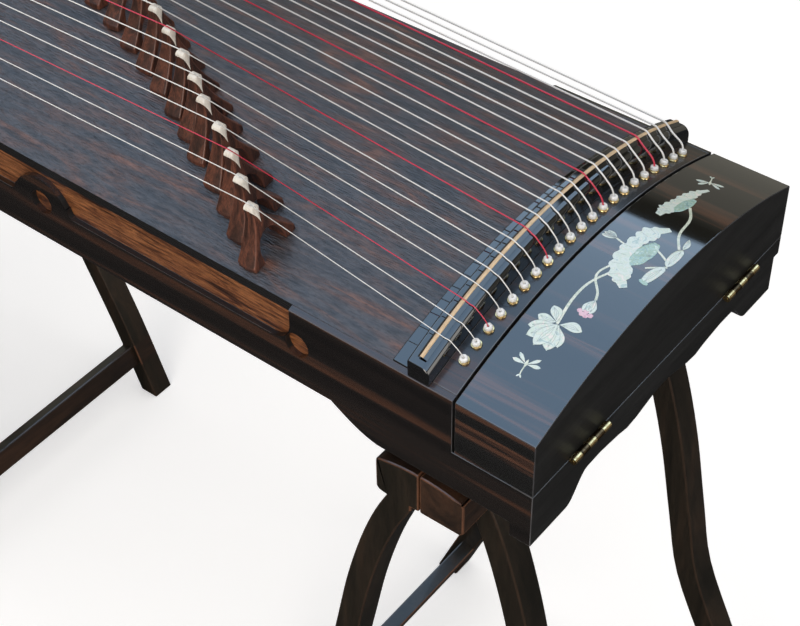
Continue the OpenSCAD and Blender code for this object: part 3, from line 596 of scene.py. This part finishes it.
softened("lid", "lid_shell", "lid", 0.0008, skip=at_hinge, choose=faces_head,
         finishes=[lid_wood, end_finish], steps=3)
softened("head_block", "head_box", "instrument", 0.0007, skip=at_hinge, choose=faces_head,
         finishes=[ebony, end_finish])
softened("side_aprons", "apron_boards", "instrument", 0.0004, skip=short_or_hinge, choose=faces_head,
         finishes=[ebony, end_finish])
softened("head_nut", "head_nut_bar", "instrument", 0.0009, finishes=[lacquer], steps=3)
softened("tail_block", "tail_box", "instrument", 0.0008, finishes=[lid_wood], steps=3)

board = soundboard_wood.node_tree
shader = board.nodes["Principled BSDF"]
top_colour = shader.inputs["Base Color"].links[0].from_socket
facing = put(board, "ShaderNodeSeparateXYZ")
board.links.new(put(board, "ShaderNodeTexCoord").outputs["Normal"], facing.inputs[0])
side = ramp(board, facing.outputs[2], [(0.55, (0, 0, 0)), (0.62, (1, 1, 1))])
board.links.new(mix(board, side, (0.010, 0.009, 0.009), top_colour), shader.inputs["Base Color"])


# The pale saddle strip, with black shoulders that run out on the nut.
half_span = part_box("saddle")[1].y
strip = bmesh.new()
rows = []
for k in range(81):
    y = half_span * (k / 40 - 1)
    off = Vector((0, y, nut_arch(y) - NUT_Z)).normalized()
    base = Vector((SADDLE_X, y, nut_arch(y)))
    rows.append([strip.verts.new(base + off * h / 1000 + Vector((w / 1000, 0, 0)))
                 for w, h in ((-4.2, 0.1), (-1.5, 2.3), (-1.35, 2.9), (-0.9, 3.1), (0.9, 3.1), (1.35, 2.9),
                              (1.5, 2.3), (4.2, 0.1))])
for a, b in zip(rows, rows[1:]):
    for k in range(8):
        m = (k + 1) % 8
        strip.faces.new((a[k], a[m], b[m], b[k])).material_index = 1 if k in (0, 6, 7) else 0
for row in (rows[0], rows[-1]):
    strip.faces.new(row).material_index = 1
bmesh.ops.recalc_face_normals(strip, faces=strip.faces)
crease(strip, (), 30)
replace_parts(settle(strip, "saddle_strip", [horn, lacquer], "instrument"), "saddle")
repaint("soundboard", soundboard_wood)
repaint("back_board", plain_wood)
repaint("side_panels", panel_wood)
repaint("hinge_body_leaves", brass)
repaint("hinge_lid_leaves", dark_hinge_metal)
for i in STRINGS:
    repaint("tuning_pin_%02d" % i, nickel)

# %% [markdown]
# The stands are plain sawn bars with softened corners, and years of carrying have rubbed the stain
# through along their edges. The long grain of a rail runs across the instrument, while a leg's grain
# runs down the leg, so each piece takes its wood by the way it lies.

# %% Folding stands
def bar_finish(face):
    """A rail or stretcher is level, and a leg stands on its own."""
    centre = face.calc_center_median()
    level = 0.044 < centre.z < 0.060 or centre.z > 0.530
    return 1 if level else 0


def under_rail(centre, edge):
    near_hinge = centre.z > 0.52 and abs(abs(centre.y) - 0.080) < 0.035
    return near_hinge or edge.calc_length() < 0.0022


for stand in ("head_stand", "tail_stand"):
    softened(stand + "_wide", stand + "_outer_frame", stand, 0.0014, skip=under_rail,
             choose=bar_finish, finishes=[stand_wood, rail_wood])
    softened(stand + "_slim", stand + "_inner_frame", stand + "_inner", 0.0014, skip=under_rail,
             choose=bar_finish, finishes=[stand_wood, rail_wood])

# %% [markdown]
# A bridge is an arched piece of rosewood that stands loose on the board under its string. Its front
# and back lean together towards the top, and a pale cap with a long pointed tongue carries the string.
# The outline is built as two matching rows, one outside and one round the opening between the feet.

# %% Bridges
def place_on_arch(x, angle):
    """A frame on the arch: x along the board, y round the arch, z straight off it. Sizes in mm."""
    lean = Matrix.Rotation(-angle, 4, "X")
    spot = Vector((x, BOARD_R * math.sin(angle), ARCH_Z + BOARD_R * math.cos(angle)))
    return Matrix.Translation(spot) @ lean @ Matrix.Scale(0.001, 4)


def half_depth(h):
    """Half the depth of a bridge at a height."""
    return BRIDGE_L * 500 - (BRIDGE_L - BRIDGE_TOP) * 500 * h / (BRIDGE_H * 1000)


def foot(u):
    """Height of the board under a foot, with a hair of clearance."""
    return math.sqrt((BOARD_R * 1000) ** 2 - u * u) - BOARD_R * 1000 + 0.3


high, wide_half = BRIDGE_H * 1000, BRIDGE_W * 500
outer = [(0.0, high - 0.9), (2.5, high - 1.4), (3.9, high - 3.0), (4.3, high - 6.2)]
for k in range(1, 13):
    t = k / 12
    outer.append((4.3 + (wide_half - 4.3) * t ** 1.5, (high - 6) * (1 - t) + 4 * t))
outer.append((wide_half, foot(wide_half)))
inner = []
for k in range(16):
    t = math.radians(90 - 6 * k)
    inner.append((wide_half / 2 * math.cos(t), 6 + 0.37 * high * math.sin(t)))
inner.append((wide_half / 2, foot(wide_half / 2)))
outer = [(-u, h) for u, h in reversed(outer[1:])] + outer
inner = [(-u, h) for u, h in reversed(inner[1:])] + inner


def bridge_wood(turn_over):
    """The wood of one bridge as a bmesh in its own frame, in mm."""
    bm = bmesh.new()
    rows = []
    for s in (1, -1):
        rows.append([bm.verts.new((s * half_depth(h), u * 0.95, h)) for u, h in outer])
        rows.append([bm.verts.new((s * half_depth(h), u, h)) for u, h in inner])
    ridge = [bm.verts.new((0.12 * half_depth(h), u, h)) for u, h in outer]
    count = len(outer)
    for k in range(count - 1):
        for a, b in ((rows[0], rows[1]), (rows[3], rows[2]), (rows[2], ridge), (ridge, rows[0]),
                     (rows[1], rows[3])):
            bm.faces.new((a[k], a[k + 1], b[k + 1], b[k]))
    for k in (0, count - 1):
        bm.faces.new((rows[0][k], rows[1][k], rows[3][k], rows[2][k], ridge[k]))
    bmesh.ops.recalc_face_normals(bm, faces=bm.faces)
    sharp = [e for e in bm.edges if e.calc_face_angle(0) > math.radians(40)
             and (e.verts[0].co.z + e.verts[1].co.z) / 2 < high - 5]
    fresh = round_edges(bm, sharp, 0.9, 2)
    bm.normal_update()
    crease(bm, fresh, 30)
    bm.transform(turn_over)
    return bm


tongue = [(0.0, high - 17), (0.6, high - 13.5), (1.3, high - 10.5), (2.2, high - 7.6), (3.2, high - 5.2),
          (3.9, high - 3.6), (4.0, high - 2.4), (3.4, high - 1.0), (2.2, high - 0.1), (0.0, high + 0.3)]
tongue = tongue + [(-u, h) for u, h in reversed(tongue[1:-1])]


def bridge_cap(turn_over):
    """The cap: the tongue's outline on both faces, rounded over with two more rings."""
    bm = bmesh.new()
    centre = (0.0, high - 4.5)
    rings = []
    for s, rise, size in ((1, 0.7, 0.0), (1, 0.65, 0.45), (1, 0.45, 0.8), (1, 0.0, 1.0),
                          (-1, 0.0, 1.0), (-1, 0.45, 0.8), (-1, 0.65, 0.45), (-1, 0.7, 0.0)):
        ring = []
        for u, h in tongue:
            h = centre[1] + (h - centre[1]) * size
            ring.append(bm.verts.new((s * (half_depth(h) + rise), u * size, h)))
        rings.append(ring)
    for a, b in zip(rings, rings[1:]):
        for k in range(len(tongue)):
            n = (k + 1) % len(tongue)
            bm.faces.new((a[k], a[n], b[n], b[k]))
    bmesh.ops.remove_doubles(bm, verts=bm.verts, dist=0.01)
    bmesh.ops.recalc_face_normals(bm, faces=bm.faces)
    crease(bm, (), 38)
    bm.transform(turn_over)
    return bm


for i in STRINGS:
    x, y, lean = bridge_place(i)
    body = "bridge_%02d" % i
    seat = place_on_arch(x, lean)
    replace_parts(settle(bridge_wood(seat), body + "_wood", [rosewood], body), body)
    settle(bridge_cap(seat), body + "_cap", [ivory], body)
print("made", len(STRINGS), "bridges of", len(outer) + len(inner), "outline points a side")

# %% [markdown]
# A string is a tube along its own route: out of the tail, over its bridge, over the pale saddle and the
# black nut, and down through a bead to its pin. It is cut at the bridge into two halves. The turns on the
# pin ride with the pin.

# %% Strings
def rounded(points, radius, steps=5):
    """The route with its corners eased by short curves."""
    made = [points[0]]
    for before, corner, after in zip(points, points[1:], points[2:]):
        reach = min(radius, (corner - before).length * 0.45, (after - corner).length * 0.45)
        start = corner + (before - corner).normalized() * reach
        end = corner + (after - corner).normalized() * reach
        for k in range(steps + 1):
            t = k / steps
            made.append(start * (1 - t) ** 2 + corner * 2 * t * (1 - t) + end * t * t)
    return made + [points[-1]]


def tube(bm, points, radius, sides=10):
    """A round tube along points, closed at both ends."""
    heading = (points[1] - points[0]).normalized()
    out = heading.orthogonal().normalized()
    rings = []
    for k, point in enumerate(points):
        ahead_of = (points[min(k + 1, len(points) - 1)] - points[max(k - 1, 0)]).normalized()
        out = heading.rotation_difference(ahead_of) @ out
        heading = ahead_of
        turned = [Matrix.Rotation(math.tau * n / sides, 3, heading) @ out for n in range(sides)]
        rings.append([bm.verts.new(point + radius * one) for one in turned])
    for a, b in zip(rings, rings[1:]):
        for n in range(sides):
            m = (n + 1) % sides
            bm.faces.new((a[n], a[m], b[m], b[n])).smooth = True
    bm.faces.new(rings[0][::-1])
    bm.faces.new(rings[-1])


def over_nut(i, share, out, rise):
    """A point where the string wraps the rounded back of the nut."""
    y = (i - 11) * (PITCH_HEAD + (PITCH_HOLE - PITCH_HEAD) * share)
    curve = 0.0073 + string_d(i) / 2
    return Vector((NUT_X - 0.007 + out * curve, y, nut_arch(y, -0.007 + rise * curve)))


for i in STRINGS:
    d = string_d(i)
    x, y, lean = bridge_place(i)
    e = BOARD_R + BRIDGE_H + 0.0004 + d / 2
    apex = Vector((x, e * math.sin(lean), ARCH_Z + e * math.cos(lean)))
    yt, ys, yh = (i - 11) * PITCH_TAIL, (i - 11) * PITCH_HEAD, (i - 11) * PITCH_HOLE
    tip = Vector((TAIL_NUT_X + 0.001, yt, arch(yt, 0.0144 + d / 2)))
    rear = [Vector((TAIL_HOLE_X, yt * (1 - 0.006 / BOARD_R), arch(yt) - 0.006)),
            Vector((TAIL_HOLE_X, yt * (1 + 0.004 / BOARD_R), arch(yt, 0.004))),
            Vector((TAIL_NUT_X - 0.0034, yt, arch(yt, 0.0142 + d / 2))), tip]
    rest = Vector((SADDLE_X, ys, nut_arch(ys, 0.0036 + d / 2)))
    a = math.asin(yh / BOARD_R)
    down = Vector((0, math.sin(a), math.cos(a)))
    hole = Vector((HOLE_X, yh, arch(yh)))
    peg_x = LID_X + 0.009 + 0.014 * ((i - 1) % 3)
    coil_r = 0.00275 + d / 2
    coil_top = PIN_FLOOR_Z + 0.0025 + 4.5 * d
    front = [apex, rest, over_nut(i, 0.3, 0.27, 1.0), over_nut(i, 0.6, 0.74, 0.74), hole + 0.008 * down,
             hole - 0.012 * down, Vector((peg_x, yh, coil_top))]
    colour, slot_name = (red_nylon, "string_red") if i in RED else (white_nylon, "string_white")
    body = "bridge_%02d" % i
    bm = bmesh.new()
    tube(bm, rounded(rear + [apex + (apex - tip).normalized() * 0.0002], 0.003), d / 2)
    half = settle(bm, "string_%02d_tail" % i, [colour], None)
    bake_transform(half)
    bm = bmesh.new()
    tube(bm, rounded(front, 0.0075), d / 2)
    whole = settle(bm, "string_%02d_head" % i, [colour], None)
    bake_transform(whole)
    bm = bmesh.new()
    turns = []
    for k in range(65):
        t = math.tau * k / 16 - math.pi / 2
        turns.append(Vector((peg_x + coil_r * math.cos(t), yh + coil_r + coil_r * math.sin(t),
                             coil_top - 4.1 * d * k / 64)))
    tube(bm, turns, d / 2, 8)
    settle(bm, "string_%02d_turns" % i, [colour], "tuning_pin_%02d" % i)
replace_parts(bpy.data.objects["string_01_tail"], "strings_white")
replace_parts(bpy.data.objects["string_03_tail"], "strings_red")
print("strings run from", round(string_d(1) * 1000, 2), "to", round(string_d(21) * 1000, 2), "mm thick")


# %% [markdown]
# Each string goes down through a milky eight-sided bead that sits on a small brass ring. They are turned
# pieces, so each is a short profile spun round its axis and set square to the arch.

# %% Beads and rings
def turned(bm, profile, sides, matrix, twist=0.0):
    """A profile of radius and height spun into a ring-shaped piece."""
    rings = []
    for n in range(sides):
        t = math.tau * n / sides + twist
        rings.append([bm.verts.new(matrix @ Vector((r * math.cos(t), r * math.sin(t), h)))
                      for r, h in profile])
    count = len(profile)
    for n in range(sides):
        a, b = rings[n], rings[(n + 1) % sides]
        for k in range(count):
            m = (k + 1) % count
            bm.faces.new((a[k], b[k], b[m], a[m]))


# Radius and height in mm, from the foot outward and back down the bore.
RING_LINE = [(4.0, 0.0), (4.2, 0.6), (3.9, 1.2), (1.7, 1.25), (1.4, 0.6), (1.4, 0.0)]
BEAD_LINE = [(2.6, 1.0), (3.3, 1.7), (3.4, 3.4), (2.9, 4.5), (1.3, 4.6), (0.8, 4.2), (0.8, 1.0)]
beads, rings = bmesh.new(), bmesh.new()
for i in STRINGS:
    for x, pitch, tail in ((HOLE_X, PITCH_HOLE, False), (TAIL_HOLE_X, PITCH_TAIL, True)):
        seat = place_on_arch(x, math.asin((i - 11) * pitch / BOARD_R))
        turned(rings, RING_LINE, 28, seat)
        if not tail:
            turned(beads, BEAD_LINE, 8, seat, random.Random(i).uniform(0, 0.8))
for bm, name, material, slot_name in ((beads, "string_beads", bead_white, "string_white"),
                                      (rings, "bead_rings", brass, "brass")):
    bmesh.ops.recalc_face_normals(bm, faces=bm.faces)
    if name == "string_beads":
        edges = [e for e in bm.edges if e.calc_face_angle(0) > math.radians(25)]
        bmesh.ops.bevel(bm, geom=edges, offset=0.00022, offset_type="OFFSET", affect="EDGES", segments=2,
                        profile=0.5, material=-1, clamp_overlap=True)
    crease(bm, (), 30)
    piece = settle(bm, name, [material], "instrument")
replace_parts(bpy.data.objects["bead_rings"], "grommets")
print("beads and rings made")

# %% [markdown]
# The lid is inlaid with a lotus spray in shell. Each plate is an outline drawn flat, in millimetres along
# and round the lid, then laid on the arch in rings so that it follows the curve. Thin dark lines over the
# plates are the engraved veins.

# %% Inlay shapes
def on_lid(v, s, rise):
    """A point of the lid: v mm from its inner edge, s mm round the arch from the crown."""
    a = s / (BOARD_R * 1000)
    r = BOARD_R + rise / 1000
    return Vector((LID_X + v / 1000, r * math.sin(a), ARCH_Z + r * math.cos(a)))


def plate(bm, outline, rise=0.14, index=0, shrink=(0.97, 0.7, 0.4)):
    """A thin shell plate with a slightly rounded rim."""
    cv = sum(p[0] for p in outline) / len(outline)
    cs = sum(p[1] for p in outline) / len(outline)
    rows = [[bm.verts.new(on_lid(v, s, -0.1)) for v, s in outline],
            [bm.verts.new(on_lid(v, s, rise * 0.8)) for v, s in outline]]
    for size in shrink:
        rows.append([bm.verts.new(on_lid(cv + (v - cv) * size, cs + (s - cs) * size, rise))
                     for v, s in outline])
    centre = bm.verts.new(on_lid(cv, cs, rise))
    made = []
    for k in range(len(outline)):
        n = (k + 1) % len(outline)
        for a, b in zip(rows, rows[1:]):
            made.append(bm.faces.new((a[k], a[n], b[n], b[k])))
        made.append(bm.faces.new((rows[-1][k], rows[-1][n], centre)))
    for face in made:
        face.material_index = index


def petal_line(base, tip, width, bend=0.0, fat=0.5, blunt=0.8, steps=9):
    """The outline of a petal or leaf from its base to its tip."""
    b, t = Vector(base), Vector(tip)
    axis = t - b
    across = Vector((-axis.y, axis.x)).normalized()
    right_edge, left_edge = [], []
    for k in range(steps + 1):
        u = k / steps
        swell = math.sin(math.pi * u ** (math.log(0.5) / math.log(fat))) ** blunt
        spine = b + axis * u + across * bend * math.sin(math.pi * u)
        right_edge.append(tuple(spine + across * width / 2 * swell))
        left_edge.append(tuple(spine - across * width / 2 * swell))
    return right_edge + left_edge[-2:0:-1]


def ribbon(bm, points, width, rise, index, end_width=None):
    """A narrow strip along points on the lid, eased through them."""
    flat = rounded([Vector(p) for p in points], 30, 7)
    last = len(flat) - 1
    rows = []
    for k, point in enumerate(flat):
        along = (flat[min(k + 1, last)] - flat[max(k - 1, 0)]).normalized()
        across = Vector((-along.y, along.x)) * (width + ((end_width or width) - width) * k / last) / 2
        a, b = point + across, point - across
        rows.append([bm.verts.new(on_lid(a.x, a.y, -0.1)), bm.verts.new(on_lid(a.x, a.y, rise)),
                     bm.verts.new(on_lid(b.x, b.y, rise)), bm.verts.new(on_lid(b.x, b.y, -0.1))])
    for a, b in zip(rows, rows[1:]):
        for n in range(3):
            bm.faces.new((a[n], a[n + 1], b[n + 1], b[n])).material_index = index


def waves(centre, long_axis, wide, lobes, depth, steps=96):
    """A wavy-edged leaf seen from the side: an oval with a scalloped rim."""
    c, axis = Vector(centre), Vector(long_axis)
    across = Vector((-axis.y, axis.x)).normalized() * wide
    made = []
    for k in range(steps):
        t = math.tau * k / steps
        rim = 1 + depth * abs(math.sin(lobes * t / 2)) - depth / 2
        made.append(tuple(c + axis * math.cos(t) * rim + across * math.sin(t) * rim))
    return made


print("shape helpers ready")

# %% [markdown]
# The spray itself: two dragonflies at the ends, the open blossom, the bud with its pink tips, the large
# wavy leaf over a jointed root, and a smaller leaf above. Finishes are counted 0 pearl, 1 green shell,
# 2 pink shell, 3 stem, 4 engraved line.

# %% Inlay
engraved, tree, shader = finish("engraved_line", (0.24, 0.30, 0.32), 0.5)
spray = bmesh.new()


def petal(base, tip, width, bend=0.0, fat=0.5, index=0, vein=True, rise=0.14, blunt=0.8):
    """One petal or leaf of the spray, with its rim and three veins engraved."""
    rim = petal_line(base, tip, width, bend, fat, blunt)
    plate(spray, rim, rise, index)
    if vein:
        ribbon(spray, rim + rim[:1], 0.22, rise + 0.008, 4)
        b, t = Vector(base), Vector(tip)
        across = Vector((b.y - t.y, t.x - b.x)).normalized()
        for side_step in (-0.22, 0.0, 0.22):
            mid = (b + t) / 2 + across * (bend + width * side_step)
            ribbon(spray, [b.lerp(t, 0.12), mid, b.lerp(t, 0.86)], 0.2, rise + 0.012, 4)


def dragonfly(v, s, turn, size):
    """Four wings, a body with a forked tail, and a round head."""
    spin = Matrix.Rotation(math.radians(turn), 2)

    def put_at(a, b):
        return tuple(Vector((v, s)) + spin @ (Vector((a, b)) * size))

    for wing, width in (((13, -1.0), 3.6), ((10, -8.0), 3.2), ((-13, -1.0), 3.6), ((-10, -8.0), 3.2)):
        petal(put_at(0, 0.5), put_at(*wing), width * size, fat=0.68, vein=False)
    petal(put_at(0, 3.5), put_at(0, -4.5), 2.6 * size, index=3, vein=False, rise=0.2)
    ribbon(spray, [put_at(0, 2), put_at(0.4, 7), put_at(0, 11)], 1.1 * size, 0.18, 3)
    for way in (-1, 1):
        petal(put_at(0, 10.5), put_at(2.2 * way, 13.6), 1.5 * size, vein=False)


for path, width, end in (
        ([(25.1, -87), (21.3, -64.1), (21.8, -44), (30, -25)], 2.3, 1.8),
        ([(35.9, -55), (33.4, -48.3), (20.5, -34), (27.5, -15)], 1.9, 1.7),
        ([(46.9, -8.4), (53, -3.5), (59.4, 1.4)], 1.7, 1.7),
        ([(43.3, 13.3), (49, 10.5), (56, 6.5)], 1.7, 1.7),
        ([(34.7, 74.2), (43.5, 61), (46, 37.9), (55.7, 23.3)], 2.2, 2.0),
        ([(11.5, 7.2), (17, 5.5), (23, 4)], 1.5, 1.5)):
    ribbon(spray, path, width, 0.10, 3, end)

dragonfly(25.8, -126, 186, 0.85)
dragonfly(26.4, 119.7, 20, 0.85)

for k, (base, tip, width, bend, fat) in enumerate((
        ((24, -86), (9.0, -87), 8.5, 1.0, 0.6), ((24, -86), (14.0, -74.5), 8.5, -1.2, 0.6),
        ((27, -87), (44, -84), 8.5, 1.8, 0.6), ((26, -88), (8.0, -98), 10.0, 0.8, 0.6),
        ((27, -88), (37, -104), 11.0, -0.8, 0.6), ((26, -87), (12.0, -106), 11.5, 0.6, 0.6),
        ((27, -87), (31.5, -110), 12.0, -0.4, 0.6), ((26, -87), (21.0, -110.5), 12.5, 0.0, 0.58))):
    petal(base, tip, width, bend, fat, rise=0.10 + 0.025 * k)

petal((35.9, -54.6), (33.5, -68.5), 8.0, 0.6, 0.6)
petal((35.9, -54.6), (39.5, -68.0), 7.6, -0.6, 0.6)
petal((35.9, -54.6), (36.4, -67.0), 6.0, 0.0, 0.6, rise=0.2)
for v, s in ((31.8, -68.6), (34.6, -70.6), (37.6, -70.8), (40.6, -69.0), (36.2, -67.4)):
    plate(spray, waves((v, s), (2.1, 0), 1.9, 5, 0.12, 20), 0.18, 2, (0.8,))

for tip, width in (((1.8, 4.0), 5.0), ((3.6, 10.5), 5.0), ((2.0, 7.6), 4.6)):
    petal((13.5, 6.8), tip, width, 0.0, 0.55)


def frill(spine, halves, lobes, depth, rise):
    """A curled leaf seen from its side: a curved band with a scalloped rim and folds across it."""
    flat = rounded([Vector(p) for p in spine], 30, 9)
    last = len(flat) - 1
    near, far = [], []
    for k, point in enumerate(flat):
        t = k / last
        along = (flat[min(k + 1, last)] - flat[max(k - 1, 0)]).normalized()
        across = Vector((-along.y, along.x))
        u = t * (len(halves) - 1)
        j = min(int(u), len(halves) - 2)
        half = halves[j] + (halves[j + 1] - halves[j]) * (u - j)
        rim = half + depth * (abs(math.sin(math.pi * lobes * t)) - 0.5)
        near.append(tuple(point + across * rim))
        far.append(tuple(point - across * (half + depth * 0.7 * (abs(math.cos(math.pi * lobes * t)) - 0.5))))
    made = []
    for a, b in zip(near, far):
        made.append([spray.verts.new(on_lid(*a, -0.1))]
                    + [spray.verts.new(on_lid(a[0] + (b[0] - a[0]) * q, a[1] + (b[1] - a[1]) * q, rise))
                       for q in (0.0, 0.25, 0.5, 0.75, 1.0)] + [spray.verts.new(on_lid(*b, -0.1))])
    for a, b in zip(made, made[1:]):
        for n in range(6):
            spray.faces.new((a[n], a[n + 1], b[n + 1], b[n]))
    for k in range(3, last - 2, 6):
        ribbon(spray, [Vector(near[k]).lerp(Vector(far[k]), 0.06), Vector(near[k]).lerp(Vector(far[k]), 0.6)],
               0.2, rise + 0.012, 4)


frill([(44.5, -35), (38, -27), (30, -14), (26.5, 2), (27.5, 18), (31, 30), (38, 40)],
      [3.0, 8.0, 7.5, 6.0, 5.5, 7.5, 2.5], 9, 2.6, 0.16)
plate(spray, waves((38.5, 4.0), (1.5, 15.5), 6.5, 7, 0.08, 80), 0.22, 1, (0.97, 0.7, 0.4))
for k in range(9):
    end = (33.5 + 0.25 * (k - 4) ** 2, 4.0 + 3.4 * (k - 4))
    ribbon(spray, [(43.5, 4.0), end], 0.2, 0.235, 4)

petal((53.5, -23.0), (58.0, 0.8), 8.6, 0.6, 0.5, rise=0.16, blunt=0.35)
petal((58.4, 1.2), (58.2, 25.0), 8.0, 0.5, 0.5, rise=0.16, blunt=0.4)
petal((58.0, 25.0), (55.5, 38.5), 4.6, -0.8, 0.45)
plate(spray, waves((53.8, -21.5), (3.9, -0.9), 1.9, 2, 0.0, 24), 0.22, 1, (0.8,))

frill([(20.5, 50), (22, 58), (23.5, 70), (25, 84), (27.5, 97), (31, 108)],
      [2.5, 6.0, 4.5, 4.5, 4.0, 1.5], 8, 2.0, 0.16)
plate(spray, waves((30.2, 74.5), (1.6, 12.5), 4.2, 7, 0.08, 60), 0.22, 1, (0.97, 0.6))
for k in range(7):
    ribbon(spray, [(33.2, 74.5), (27.4 + 0.2 * (k - 3) ** 2, 74.5 + 3.4 * (k - 3))], 0.2, 0.235, 4)

bmesh.ops.recalc_face_normals(spray, faces=spray.faces)
for face in spray.faces:
    if face.normal.z < 0 and face.calc_center_median().z > ARCH_Z:
        face.normal_flip()
crease(spray, (), 30)
settle(spray, "lotus_inlay", [pearl, abalone, pink_shell, stem_shell, engraved], "lid")
print("inlay plates ride on the lid")
